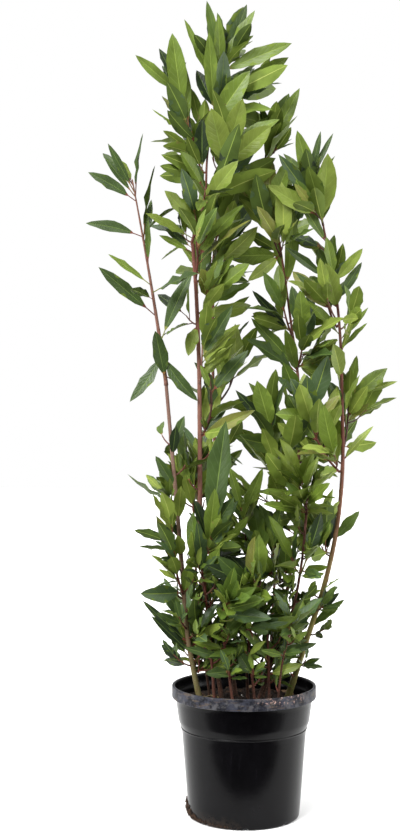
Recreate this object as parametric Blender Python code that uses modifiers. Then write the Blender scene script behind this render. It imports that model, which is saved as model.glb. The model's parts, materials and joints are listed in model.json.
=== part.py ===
"""Bay laurel bush in a round nursery pot: the solids.

Five tall stems and ten short ones stand in the compost of a black five litre pot,
and one tall stem carries a leader. Every leafy shoot is one solid: a twig that
starts 0.3 mm off its limb, side twigs that branch from it by a seeded rule, and
leaves whose roots are sunk in the wood. A leaf or side twig that would touch
another shoot, a limb or the pot is turned, and left out where no turn helps.
Metres, +Z up, origin at the centre of the pot's flat underside.
"""
import math
import random

import bmesh
import bpy
from mathutils import Quaternion, Vector
from mathutils.bvhtree import BVHTree

CLEAR = 0.0003            # gap between solids that touch on the real plant

# pot
RIM_R = 0.110             # outside of the rim band
RIM_H = 0.018             # height of the rim band
RIM_LIP = 0.0045          # thickness of the band over the wall
COLLAR_R = 0.1045         # stacking collar under the band
COLLAR_FOOT_R = 0.1000
COLLAR_FOOT_Z = 0.1460
BODY_R = 0.0958           # body under the collar's chamfer
BODY_Z = 0.1350
RIDGE = 0.0008            # thin ridge round the body's top
FOOT_R = 0.0845
FOOT_ROUND = 0.0045
POT_H = 0.198
WALL = 0.0016
FLOOR = 0.0020
POT_STEPS = 32
DRAINS = 8                # scalloped drain notches round the foot
DRAIN_R = 0.0045
DRAIN_LONG = 0.020
DRAIN_DROP = 0.0010       # the notches' axes lie this far under the underside

SOIL_Z = 0.172            # top of the compost

# limbs
FOOT_FLARE = 1.35         # a stem's foot against its width higher up
FLARE_FADE = 0.018        # height over which the flare fades
LIMB_STEP = 0.075         # length of a limb's straight pieces
TALL = 0.25               # limbs longer than this are rounder and grey brown

# twigs
TWIG_STEP = 0.034
TWIG_TIP = 0.0008         # radius
SIDE_TIP = 0.0007
SIDE_REACH = (0.016, 0.040)
LEAVES_A_SIDE = 3         # leaves on each side twig
PLAIN_LEAVES = 5          # a shoot with fewer leaves than this plus 4 has no side twig

# leaves
GOLDEN = math.radians(137.5)
LEAF_WIDE = (0.27, 0.35)  # width against length
LEAF_SIZES = (0.84, 1.10)
LEAF_ROLL = 32            # degrees
LEAF_BEND = (-0.04, 0.26)
LEAF_SWAY = 0.10
LEAF_FOLD = (0.10, 0.42)
LAST_ANGLE = 18           # degrees between a shoot's last leaves and its twig
LEAF_STATIONS = (0.0, 0.41, 0.75, 1.0)   # shares of its length
LEAF_WIDTHS = (0.0, 1.0, 0.82, 0.0)      # shares of its width there
LEAF_THICK = 0.012        # of its length
LEAF_MARGIN = 0.0005      # kept free round a leaf of another shoot
BLADE_MARGIN = 0.0002     # kept free between blades of one shoot
BLADE_START = 0.25        # share of a leaf's length where its blade is clear of the twig
TURNS = (0, 22, -22, 44, -44, 66, -66, 95, -95)   # tried when a leaf finds no room

# Limbs: points that the limb runs through, radius at its foot and at its tip.
LIMBS = {
    "left_stem": dict(
        run=((-0.066, -0.045, SOIL_Z), (-0.082, -0.045, 0.250), (-0.101, -0.040, 0.465),
             (-0.118, -0.030, 0.655)), foot=0.0043, tip=0.0026),
    "centre_stem": dict(
        run=((-0.034, -0.010, SOIL_Z), (-0.064, -0.020, 0.390), (-0.067, -0.025, 0.573),
             (-0.070, -0.020, 0.740), (-0.078, -0.020, 0.868)), foot=0.0047, tip=0.0027),
    "leader": dict(
        on="centre_stem",
        run=((-0.061, -0.022, 0.930), (-0.056, -0.020, 1.000), (-0.047, -0.015, 1.062),
             (-0.034, -0.012, 1.128)), foot=0.0023, tip=0.0011),
    "back_stem": dict(
        run=((-0.012, 0.045, SOIL_Z), (-0.036, 0.055, 0.400), (-0.046, 0.055, 0.640),
             (-0.046, 0.060, 0.850)), foot=0.0040, tip=0.0019),
    "middle_stem": dict(
        run=((0.030, 0.020, SOIL_Z), (0.073, 0.015, 0.370), (0.083, 0.015, 0.510),
             (0.086, 0.015, 0.640), (0.068, 0.020, 0.790), (0.052, 0.020, 0.900),
             (0.034, 0.020, 0.995)), foot=0.0041, tip=0.0012),
    "middle_right_stem": dict(
        run=((0.018, -0.035, SOIL_Z), (0.055, -0.030, 0.270), (0.080, -0.030, 0.345),
             (0.093, -0.030, 0.460)), foot=0.0032, tip=0.0019),
    "right_stem": dict(
        run=((0.070, 0.020, SOIL_Z), (0.104, 0.000, 0.291), (0.134, -0.010, 0.397),
             (0.149, -0.010, 0.515), (0.149, -0.005, 0.640), (0.144, 0.000, 0.775),
             (0.121, 0.000, 0.900)), foot=0.0049, tip=0.0015),
    "left_inner_stem": dict(
        run=((-0.052, 0.010, SOIL_Z), (-0.070, 0.005, 0.320), (-0.077, 0.000, 0.465)),
        foot=0.0029, tip=0.0016),
    "low_left_stem": dict(
        run=((-0.045, -0.055, SOIL_Z), (-0.053, -0.055, 0.285), (-0.062, -0.055, 0.373)),
        foot=0.0032, tip=0.0018),
    "low_front_stem": dict(
        run=((-0.018, -0.070, SOIL_Z), (-0.026, -0.072, 0.240), (-0.036, -0.075, 0.300)),
        foot=0.0031, tip=0.0018),
    "low_middle_stem": dict(
        run=((0.015, -0.062, SOIL_Z), (0.008, -0.065, 0.240), (0.002, -0.068, 0.300)),
        foot=0.0027, tip=0.0017),
    "low_right_stem": dict(
        run=((0.036, -0.050, SOIL_Z), (0.034, -0.052, 0.270), (0.030, -0.050, 0.335)),
        foot=0.0031, tip=0.0017),
    "low_outer_stem": dict(
        run=((0.048, -0.060, SOIL_Z), (0.054, -0.066, 0.240), (0.062, -0.070, 0.275)),
        foot=0.0025, tip=0.0016),
    "inner_stem": dict(
        run=((0.006, 0.005, SOIL_Z), (0.001, -0.010, 0.330), (0.003, -0.020, 0.405)),
        foot=0.0032, tip=0.0017),
    "back_left_stem": dict(
        run=((-0.045, 0.060, SOIL_Z), (-0.052, 0.078, 0.350), (-0.050, 0.085, 0.480)),
        foot=0.0032, tip=0.0017),
    "back_right_stem": dict(
        run=((0.040, 0.070, SOIL_Z), (0.052, 0.085, 0.350), (0.056, 0.085, 0.500)),
        foot=0.0032, tip=0.0017),
}

# Shoots: limb, place along it (1 is its tip), reach of the twig's end from there,
# leaves, leaf length, spread of the lowest leaves in degrees, seed. On some: how
# slim the leaves are, the spread of the last leaves, how early the leaves turn to
# it (ease under 1), and the count of side twigs.
SHOOTS = {
    "left_spire_leaves": dict(
        limb="left_stem", at=1, reach=(-0.050, -0.006, 0.304), leaves=15, size=0.100, spread=110,
        seed=549, slim=0.9, close=30, ease=0.8, sides=1),
    "leader_tip_leaves": dict(
        limb="leader", at=1, reach=(0.006, 0.006, 0.040), leaves=9, size=0.108, spread=34,
        seed=901),
    "leader_side_leaves": dict(
        limb="leader", at=0.76, reach=(0.016, -0.010, 0.028), leaves=5, size=0.102, spread=65,
        seed=1),
    "top_right_leaves": dict(
        limb="leader", at=0.86, reach=(0.044, 0.008, 0.022), leaves=6, size=0.108, spread=49,
        seed=700),
    "top_left_leaves": dict(
        limb="leader", at=0.53, reach=(-0.044, 0.008, 0.102), leaves=14, size=0.090, spread=34,
        seed=821),
    "upper_middle_leaves": dict(
        limb="leader", at=0.26, reach=(0.034, -0.002, 0.082), leaves=9, size=0.108, spread=28,
        seed=334),
    "left_crown_leaves": dict(
        limb="centre_stem", at=0.93, reach=(0.000, -0.018, 0.088), leaves=10, size=0.108, spread=41,
        seed=304),
    "left_high_leaves": dict(
        limb="leader", at=0.42, reach=(-0.018, 0.014, 0.050), leaves=7, size=0.086, spread=50,
        seed=510),
    "right_branch_leaves": dict(
        limb="centre_stem", at=0.92, reach=(0.032, 0.024, 0.042), leaves=9, size=0.102, spread=46,
        seed=973),
    "pink_twig_leaves": dict(
        limb="centre_stem", at=0.85, reach=(0.028, -0.010, 0.042), leaves=8, size=0.096, spread=45,
        seed=526),
    "centre_left_leaves": dict(
        limb="centre_stem", at=0.7, reach=(0.004, -0.022, 0.066), leaves=7, size=0.084, spread=53,
        seed=48),
    "red_twig_leaves": dict(
        limb="centre_stem", at=0.59, reach=(0.010, -0.004, 0.100), leaves=8, size=0.106, spread=53,
        seed=290),
    "back_stem_tip_leaves": dict(
        limb="back_stem", at=1, reach=(0.012, 0.006, 0.078), leaves=11, size=0.108, spread=56,
        seed=550),
    "back_stem_side_leaves": dict(
        limb="back_stem", at=0.67, reach=(0.032, 0.004, 0.056), leaves=9, size=0.096, spread=48,
        seed=463),
    "middle_tip_leaves": dict(
        limb="middle_stem", at=1, reach=(0.004, -0.006, 0.036), leaves=9, size=0.096, spread=30,
        seed=709),
    "middle_high_leaves": dict(
        limb="middle_stem", at=0.87, reach=(0.016, 0.010, 0.032), leaves=9, size=0.108, spread=28,
        seed=762),
    "middle_high_left_leaves": dict(
        limb="middle_stem", at=0.83, reach=(-0.020, -0.014, 0.062), leaves=8, size=0.108, spread=52,
        seed=831),
    "middle_upper_left_leaves": dict(
        limb="middle_stem", at=0.68, reach=(-0.018, -0.024, 0.058), leaves=8, size=0.090, spread=54,
        seed=940),
    "middle_left_leaves": dict(
        limb="middle_stem", at=0.34, reach=(-0.038, -0.034, 0.162), leaves=14, size=0.108,
        spread=46, seed=583),
    "middle_front_leaves": dict(
        limb="middle_stem", at=0.62, reach=(0.006, -0.038, 0.050), leaves=10, size=0.108, spread=46,
        seed=972),
    "right_tip_leaves": dict(
        limb="right_stem", at=1, reach=(-0.022, -0.010, 0.066), leaves=11, size=0.108, spread=46,
        seed=25),
    "right_high_left_leaves": dict(
        limb="right_stem", at=0.8, reach=(-0.018, -0.024, 0.028), leaves=9, size=0.086, spread=56,
        seed=109),
    "right_high_outer_leaves": dict(
        limb="right_stem", at=0.79, reach=(-0.016, 0.008, 0.092), leaves=8, size=0.070, spread=53,
        seed=893),
    "right_outer_leaves": dict(
        limb="right_stem", at=0.54, reach=(0.012, 0.030, 0.080), leaves=14, size=0.100, spread=36,
        seed=649),
    "right_inner_leaves": dict(
        limb="right_stem", at=0.49, reach=(-0.050, -0.018, 0.086), leaves=13, size=0.102, spread=66,
        seed=45),
    "right_low_leaves": dict(
        limb="right_stem", at=0.32, reach=(-0.004, 0.000, 0.028), leaves=5, size=0.108, spread=48,
        seed=401),
    "right_foot_leaves": dict(
        limb="right_stem", at=0.12, reach=(-0.002, -0.012, 0.032), leaves=5, size=0.102, spread=48,
        seed=484),
    "middle_right_tip_leaves": dict(
        limb="middle_right_stem", at=1, reach=(-0.008, -0.020, 0.050), leaves=13, size=0.102,
        spread=62, seed=247),
    "middle_right_side_leaves": dict(
        limb="middle_right_stem", at=0.69, reach=(0.010, -0.032, 0.036), leaves=8, size=0.102,
        spread=52, seed=864),
    "middle_low_leaves": dict(
        limb="middle_stem", at=0.22, reach=(-0.040, -0.046, 0.050), leaves=11, size=0.108,
        spread=50, seed=84),
    "left_inner_leaves": dict(
        limb="left_inner_stem", at=1, reach=(0.006, -0.002, 0.062), leaves=12, size=0.104,
        spread=52, seed=103),
    "left_low_leaves": dict(
        limb="left_stem", at=0.36, reach=(-0.016, -0.016, 0.096), leaves=10, size=0.098, spread=28,
        seed=263),
    "left_foot_leaves": dict(
        limb="left_stem", at=0.11, reach=(-0.008, 0.002, 0.056), leaves=7, size=0.108, spread=28,
        seed=741),
    "low_left_leaves": dict(
        limb="low_left_stem", at=1, reach=(0.012, -0.020, 0.060), leaves=12, size=0.108, spread=54,
        seed=422),
    "low_left_skirt_leaves": dict(
        limb="low_left_stem", at=0.44, reach=(-0.022, -0.016, 0.044), leaves=7, size=0.088,
        spread=60, seed=344),
    "low_front_leaves": dict(
        limb="low_front_stem", at=1, reach=(0.010, -0.038, 0.040), leaves=11, size=0.108, spread=61,
        seed=494),
    "low_middle_leaves": dict(
        limb="low_middle_stem", at=1, reach=(0.008, -0.030, -0.014), leaves=10, size=0.108,
        spread=65, seed=867),
    "low_right_leaves": dict(
        limb="low_right_stem", at=1, reach=(-0.024, -0.034, 0.028), leaves=12, size=0.108,
        spread=62, seed=106),
    "low_outer_leaves": dict(
        limb="low_outer_stem", at=1, reach=(0.004, -0.008, 0.024), leaves=10, size=0.078, spread=56,
        seed=730),
    "inner_leaves": dict(
        limb="inner_stem", at=1, reach=(-0.006, -0.018, 0.056), leaves=10, size=0.094, spread=56,
        seed=262),
    "back_left_leaves": dict(
        limb="back_left_stem", at=1, reach=(-0.010, 0.010, 0.048), leaves=13, size=0.092, spread=34,
        seed=565),
    "back_right_leaves": dict(
        limb="back_right_stem", at=1, reach=(0.010, 0.004, 0.044), leaves=13, size=0.108, spread=46,
        seed=618),
}


def spline(points, spans):
    """Points on a smooth curve that runs through all the given ones."""
    knots = [Vector(p) for p in points]
    knots = [knots[0] * 2 - knots[1]] + knots + [knots[-1] * 2 - knots[-2]]
    out = []
    for a, b, c, d in zip(knots, knots[1:], knots[2:], knots[3:]):
        for k in range(spans):
            t = k / spans
            out.append((b * 2 + (c - a) * t + (a * 2 - b * 5 + c * 4 - d) * t * t
                        + (b * 3 - a - c * 3 + d) * t ** 3) / 2)
    return out + [knots[-2]]


def even(path, count):
    """The same path with points at equal steps of its length."""
    lengths = [0.0]
    for a, b in zip(path, path[1:]):
        lengths.append(lengths[-1] + (b - a).length)
    out, k = [], 0
    for i in range(count):
        want = lengths[-1] * i / (count - 1)
        while k < len(path) - 2 and lengths[k + 1] < want:
            k += 1
        t = (want - lengths[k]) / (lengths[k + 1] - lengths[k])
        out.append(path[k].lerp(path[k + 1], min(max(t, 0.0), 1.0)))
    return out


def along(path, at):
    """Place and direction at a share of an evenly stepped path."""
    f = min(max(at, 0.0), 1.0) * (len(path) - 1)
    k = min(int(f), len(path) - 2)
    return path[k].lerp(path[k + 1], f - k), (path[k + 1] - path[k]).normalized()


def square_to(way, direction):
    """The part of a direction that stands square to a way, one unit long."""
    part = direction - way * direction.dot(way)
    if part.length < 1e-6:
        part = way.orthogonal()
    return part.normalized()


class Limb:
    """A stem or bough: an evenly stepped path and a radius that tapers along it."""

    def __init__(self, name, run, foot, tip, on=None):
        self.name = name
        if on is None:
            start = Vector(run[0]) + Vector((0, 0, CLEAR))
            way = Vector((0, 0, 1))
            self.flare = FOOT_FLARE
        else:
            start, way = on.path[-1] + along(on.path, 1)[1] * CLEAR, along(on.path, 1)[1]
            run = (start,) + tuple(run)
            self.flare = 1.0
        self.foot, self.tip = foot, tip
        first = start + way * 0.005
        rest = spline([first] + [Vector(p) for p in run[1:]], 12)
        count = max(5, int(sum((b - a).length for a, b in zip(rest, rest[1:])) / LIMB_STEP))
        self.path = [start] + even(rest, count)
        self.long = sum((b - a).length for a, b in zip(self.path, self.path[1:]))
        self.shares = [0.0]
        for a, b in zip(self.path, self.path[1:]):
            self.shares.append(self.shares[-1] + (b - a).length / self.long)

    def radius(self, share):
        r = self.foot + (self.tip - self.foot) * share ** 0.8
        return r * (1 + (self.flare - 1) * math.exp(-share * self.long / FLARE_FADE))

    def at(self, share):
        """Place, direction and radius at a share of the limb's length."""
        for k in range(len(self.shares) - 1):
            if share <= self.shares[k + 1] or k == len(self.shares) - 2:
                t = (share - self.shares[k]) / (self.shares[k + 1] - self.shares[k])
                a, b = self.path[k], self.path[k + 1]
                ra, rb = self.radius(self.shares[k]), self.radius(self.shares[k + 1])
                return a.lerp(b, t), (b - a).normalized(), ra + (rb - ra) * t


class Twig:
    """A thin tapering shoot in a mass of leaves."""

    def __init__(self, path, foot, tip):
        self.path, self.foot, self.tip = path, foot, tip

    def radius(self, share):
        return self.foot + (self.tip - self.foot) * share


class Leaf:
    """A leaf: its root, its frame, and the numbers that bend and fold the blade."""

    def __init__(self, root, way, up, long, wide, bend, sway, fold):
        self.root, self.way, self.up = root, way, up
        self.side = way.cross(up)
        self.long, self.wide = long, wide
        self.bend, self.sway, self.fold = bend, sway, fold

    def point(self, s, half, lift):
        """A point at share s along the leaf, half metres off its midrib."""
        middle = (self.root + self.way * (s * self.long)
                  + self.side * (self.sway * s * s * self.long)
                  - self.up * (self.bend * s * s * self.long))
        slope = (self.way - self.up * (2 * self.bend * s)).normalized()
        up = square_to(slope, self.up)
        return middle + self.side * half + up * (lift + self.fold * abs(half))

    def ring(self, k, margin=0.0):
        """Right edge, top, left edge and underside at the leaf's kth station."""
        s = LEAF_STATIONS[k]
        half = self.wide / 2 * LEAF_WIDTHS[k] + margin
        thick = self.long * LEAF_THICK / 2 + margin
        return (self.point(s, half, 0), self.point(s, 0, thick),
                self.point(s, -half, 0), self.point(s, 0, -thick))

    def shell(self, margin=0.0, start=0.0):
        """Corners and faces of the coarse leaf, from a share of its length to its tip."""
        corners = [self.point(start, 0, 0), *self.ring(1, margin), *self.ring(2, margin),
                   self.point(1 + margin / self.long, 0, 0)]
        faces = []
        for j in range(4):
            a, b = 1 + j, 1 + (j + 1) % 4
            faces += [(0, a, b), (a, a + 4, b + 4, b), (a + 4, 9, b + 4)]
        return corners, faces


def tube_shell(path, radii, sides=6, margin=0.0):
    """Corners and faces of a tube round a path, for finding what it touches."""
    corners, faces = [], []
    for k, (point, r) in enumerate(zip(path, radii)):
        way = (path[min(k + 1, len(path) - 1)] - path[max(k - 1, 0)]).normalized()
        u = way.orthogonal().normalized()
        v = way.cross(u)
        for j in range(sides):
            a = math.tau * j / sides
            corners.append(point + (u * math.cos(a) + v * math.sin(a)) * (r + margin))
    for k in range(len(path) - 1):
        for j in range(sides):
            a, b = k * sides + j, k * sides + (j + 1) % sides
            faces.append((a, b, b + sides, a + sides))
    faces += [tuple(range(sides)), tuple(range(len(corners) - sides, len(corners)))]
    return corners, faces


class Space:
    """What is already taken: shells that no later twig or leaf may touch."""

    def __init__(self):
        self.shells = []

    def add(self, owner, shell):
        corners = shell[0]
        low = [min(c[i] for c in corners) for i in range(3)]
        high = [max(c[i] for c in corners) for i in range(3)]
        self.shells.append((owner, low, high, BVHTree.FromPolygons(*shell)))

    def touches(self, shell, owners=None, skip=()):
        corners = shell[0]
        low = [min(c[i] for c in corners) for i in range(3)]
        high = [max(c[i] for c in corners) for i in range(3)]
        tree = None
        for owner, lo, hi, other in self.shells:
            if owner in skip or (owners and owner not in owners):
                continue
            if any(low[i] > hi[i] or high[i] < lo[i] for i in range(3)):
                continue
            tree = tree or BVHTree.FromPolygons(*shell)
            if tree.overlap(other):
                return True
        return False


def over_pot(corners):
    """False where a shape would reach the compost, the pot's wall or its rim."""
    for c in corners:
        if c.z < SOIL_Z + 0.002:
            return False
        if c.z < POT_H + 0.003 and math.hypot(c.x, c.y) > RIM_R - 0.009:
            return False
    return True


def shoot_stem(limb, at, reach):
    """The twig that carries a mass of leaves, from 0.3 mm off its limb."""
    reach = Vector(reach)
    point, way, r = limb.at(at)
    if at >= 1:
        out, foot = way, limb.tip
        start = point + way * CLEAR
    else:
        out = square_to(way, reach - way * reach.length * 0.4)
        foot = min(0.0011 + 0.006 * reach.length, 0.75 * r)
        start = point + out * (r + CLEAR)
    first = start + out * 0.003
    end = start + reach
    handle = first.lerp(end, 0.4) + (out - reach.normalized()) * (0.18 * reach.length)
    bend = [first * (1 - t) ** 2 + handle * (2 * t * (1 - t)) + end * t * t
            for t in (k / 8 for k in range(9))]
    count = max(3, int(reach.length / TWIG_STEP) + 2)
    return Twig([start] + even(bend, count), foot, TWIG_TIP)


def grow_leaf(space, name, twig, share, azimuth, angle, long, slim, dice):
    """One leaf at a share of a twig, turned until it finds room, or none."""
    root, way = along(twig.path, share)
    sunk = 0.6 * twig.radius(share)
    wide = long * slim * dice.uniform(*LEAF_WIDE)
    roll = math.radians(dice.uniform(-LEAF_ROLL, LEAF_ROLL))
    bend, sway = dice.uniform(*LEAF_BEND), dice.uniform(-LEAF_SWAY, LEAF_SWAY)
    fold = dice.uniform(*LEAF_FOLD)
    for scale in (1.0, 0.8):
        for turn in TURNS:
            a = azimuth + math.radians(turn)
            out = square_to(way, Vector((math.cos(a), math.sin(a), 0)))
            ahead = (way * math.cos(angle) + out * math.sin(angle)).normalized()
            up = way * math.sin(angle) - out * math.cos(angle)
            up = Quaternion(ahead, roll) @ up
            leaf = Leaf(root - ahead * sunk, ahead, up, long * scale, wide * scale,
                        bend, sway, fold)
            shell = leaf.shell(LEAF_MARGIN)
            if not over_pot(shell[0]) or space.touches(shell, skip=(name, name + " blades")):
                continue
            blade = leaf.shell(BLADE_MARGIN, BLADE_START)
            if space.touches(blade, owners=(name + " blades",)):
                continue
            space.add(name, leaf.shell(LEAF_MARGIN / 2))
            space.add(name + " blades", blade)
            return leaf
    return None


def grow(space, name, stem, leaves, size, spread, seed, slim=1.0,
         close=LAST_ANGLE, ease=1.0, sides=None):
    """Side twigs and leaves of one mass, by a seeded rule from its stem."""
    dice = random.Random(seed)
    long = sum((b - a).length for a, b in zip(stem.path, stem.path[1:]))
    twigs, blades = [stem], []
    phase = dice.uniform(0, math.tau)
    branches = max(0, (leaves - PLAIN_LEAVES) // 4) if sides is None else sides
    for k in range(branches):
        share = 0.25 + 0.5 * (k + dice.random() * 0.6) / branches
        root, way = along(stem.path, share)
        a = phase + GOLDEN * (k + 0.5)
        out = square_to(way, Vector((math.cos(a), math.sin(a), 0)))
        reach = min(max(long * 0.35, SIDE_REACH[0]), SIDE_REACH[1]) * dice.uniform(0.8, 1.2)
        mid = root + (way * 0.5 + out * 0.86) * (reach * 0.5)
        tip = mid + (way * 0.8 + out * 0.6) * (reach * 0.5)
        r = stem.radius(share) * 0.8
        path = [root, mid, tip]
        shell = tube_shell(path, (r, r, r), 6, LEAF_MARGIN)
        if over_pot(shell[0]) and not space.touches(shell, skip=(name,)):
            twigs.append(Twig(path, r, SIDE_TIP))
            space.add(name, shell)
    main = leaves - LEAVES_A_SIDE * (len(twigs) - 1)
    plan = []
    for i in range(main):
        t = i / max(main - 1, 1)
        plan.append((stem, 0.12 + 0.86 * t ** 0.75 if long > 0.03 else 0.3 + 0.68 * t, t))
    for twig in twigs[1:]:
        plan += [(twig, 0.55, 0.45), (twig, 0.78, 0.7), (twig, 0.97, 0.95)]
    for i, (twig, share, t) in enumerate(plan):
        angle = math.radians(spread + (close - spread) * t ** ease + dice.uniform(-8, 8))
        length = size * (1.0 - 0.14 * t * t) * dice.uniform(*LEAF_SIZES)
        leaf = grow_leaf(space, name, twig, share, phase + GOLDEN * i
                         + math.radians(dice.uniform(-20, 20)), angle, length, slim, dice)
        if leaf:
            blades.append(leaf)
    return twigs, blades


def plan_plant():
    """All limbs, and the stem, twigs and leaves of every mass."""
    space, limbs, stems, masses = Space(), {}, {}, {}
    for name, limb in LIMBS.items():
        limbs[name] = Limb(name, limb["run"], limb["foot"], limb["tip"],
                           limbs.get(limb.get("on")))
        radii = [limbs[name].radius(s) for s in limbs[name].shares]
        space.add(name, tube_shell(limbs[name].path, radii, 8))
    for name, shoot in SHOOTS.items():
        stems[name] = shoot_stem(limbs[shoot["limb"]], shoot["at"], shoot["reach"])
        path = stems[name].path
        radii = [stems[name].radius(k / (len(path) - 1)) for k in range(len(path))]
        space.add(name, tube_shell(path, radii, 6, 0.0001))
    for name, shoot in SHOOTS.items():
        rule = {k: v for k, v in shoot.items() if k not in ("limb", "at", "reach")}
        masses[name] = grow(space, name, stems[name], **rule)
    return limbs, masses


def material(name, colour, roughness):
    mat = bpy.data.materials.new(name)
    mat.use_nodes = True
    node = mat.node_tree.nodes["Principled BSDF"]
    node.inputs["Base Color"].default_value = (*colour, 1.0)
    node.inputs["Roughness"].default_value = roughness
    node.inputs["Metallic"].default_value = 0.0
    return mat


def link(name, data, collection, mat=None):
    ob = bpy.data.objects.new(name, data)
    collection.objects.link(ob)
    if mat:
        data.materials.append(mat)
    return ob


def turned(name, profile, steps, collection, mat):
    """A profile in the XZ plane turned round Z."""
    bm = bmesh.new()
    verts = [bm.verts.new((x, 0, z)) for x, z in profile]
    for a, b in zip(verts, verts[1:]):
        bm.edges.new((a, b))
    mesh = bpy.data.meshes.new(name)
    bm.to_mesh(mesh)
    bm.free()
    ob = link(name, mesh, collection, mat)
    screw = ob.modifiers.new("turn", "SCREW")
    screw.steps = screw.render_steps = steps
    screw.use_merge_vertices = True
    screw.merge_threshold = 0.00001
    return ob


def pot_outside():
    """Outer profile of the pot from its lip down to the middle of its underside."""
    band = POT_H - RIM_H
    return [(RIM_R - 0.0010, POT_H), (RIM_R, POT_H - 0.0012), (RIM_R, band + 0.0008),
            (COLLAR_R, band), (COLLAR_FOOT_R, COLLAR_FOOT_Z), (BODY_R, BODY_Z),
            (BODY_R + RIDGE, BODY_Z - 0.0008), (BODY_R - 0.0004, BODY_Z - 0.0018),
            (FOOT_R, FOOT_ROUND), (FOOT_R - 0.3 * FOOT_ROUND, 0.3 * FOOT_ROUND),
            (FOOT_R - FOOT_ROUND, 0.0), (0.0, 0.0)]


def pot_inside():
    """Inner profile of the pot from the middle of its floor up to its lip."""
    return [(0.0, FLOOR), (FOOT_R - WALL - 0.003, FLOOR), (FOOT_R - WALL, 0.006),
            (BODY_R - WALL, BODY_Z), (COLLAR_FOOT_R - WALL, COLLAR_FOOT_Z),
            (COLLAR_R - WALL, POT_H - RIM_H), (RIM_R - RIM_LIP, POT_H - 0.0006),
            (RIM_R - RIM_LIP + 0.0008, POT_H)]


def compost_profile():
    """The compost fills the pot, 0.3 mm off its wall and floor."""
    inner = pot_inside()[1:5]
    wall = [(x - CLEAR, z + CLEAR) for x, z in inner]
    (x0, z0), (x1, z1) = pot_inside()[4:6]
    t = (SOIL_Z - z0) / (z1 - z0)
    top = (x0 + (x1 - x0) * t - CLEAR, SOIL_Z)
    return [(0.0, SOIL_Z), top] + wall[::-1] + [(0.0, FLOOR + CLEAR)]


def cutter(name, place, turn, radius, depth, collection):
    bpy.ops.mesh.primitive_cylinder_add(vertices=8, radius=radius, depth=depth,
                                        location=place, rotation=turn)
    ob = bpy.context.object
    ob.name = name
    for other in ob.users_collection:
        other.objects.unlink(ob)
    collection.objects.link(ob)
    ob.hide_render = True
    ob.display_type = "WIRE"
    return ob


def tube(name, path, radii, sides, collection, mat=None, section=None):
    """A tapering tube along a path: round, or with the section of a guide curve."""
    curve = bpy.data.curves.new(name, "CURVE")
    curve.dimensions = "3D"
    curve.use_fill_caps = True
    if section:
        curve.bevel_mode = "OBJECT"
        curve.bevel_object = section
        unit = 1.0
    else:
        unit = max(radii)
        curve.bevel_depth = unit
        curve.bevel_resolution = (sides - 4) // 2
    line = curve.splines.new("POLY")
    line.points.add(len(path) - 1)
    for point, place, r in zip(line.points, path, radii):
        point.co = (*place, 1.0)
        point.radius = r / unit
    return link(name, curve, collection, mat)


def face_out(bm):
    """Turns a closed mesh's faces outwards."""
    bmesh.ops.recalc_face_normals(bm, faces=bm.faces)
    if bm.calc_volume(signed=True) < 0:
        bmesh.ops.reverse_faces(bm, faces=bm.faces)


def meshed(ob, collection):
    """A curve object as a mesh object, its caps welded on."""
    graph = bpy.context.evaluated_depsgraph_get()
    mesh = bpy.data.meshes.new_from_object(ob.evaluated_get(graph))
    bm = bmesh.new()
    bm.from_mesh(mesh)
    bmesh.ops.remove_doubles(bm, verts=bm.verts, dist=0.000001)
    face_out(bm)
    bm.to_mesh(mesh)
    bm.free()
    name, place = ob.name, ob.matrix_world.copy()
    bpy.data.objects.remove(ob, do_unlink=True)
    new = link(name, mesh, collection)
    new.matrix_world = place
    return new


def leaf_solid(name, leaf, collection):
    """A leaf from a coarse ball: its rings become stations along the blade."""
    bm = bmesh.new()
    bmesh.ops.create_uvsphere(bm, u_segments=4, v_segments=3, radius=1.0)
    for v in bm.verts:
        k = round(math.acos(max(-1.0, min(1.0, v.co.z))) / (math.pi / 3))
        if k in (0, 3):
            v.co = leaf.point(LEAF_STATIONS[k], 0, 0)
        else:
            corner = round(math.atan2(v.co.y, v.co.x) / (math.pi / 2)) % 4
            v.co = leaf.ring(k)[corner]
    face_out(bm)
    mesh = bpy.data.meshes.new(name)
    bm.to_mesh(mesh)
    bm.free()
    return link(name, mesh, collection)


def one_body(mesh):
    """Keeps the largest body: sealed hollows are filled and loose scraps dropped."""
    bm = bmesh.new()
    bm.from_mesh(mesh)
    left, bodies = set(bm.faces), []
    while left:
        body, edge = set(), [left.pop()]
        while edge:
            face = edge.pop()
            body.add(face)
            for e in face.edges:
                for other in e.link_faces:
                    if other in left:
                        left.discard(other)
                        edge.append(other)
        bodies.append(body)
    bodies.sort(key=len, reverse=True)
    scraps = [f for body in bodies[1:] for f in body]
    if scraps:
        bmesh.ops.delete(bm, geom=scraps, context="FACES")
    bm.to_mesh(mesh)
    bm.free()


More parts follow.
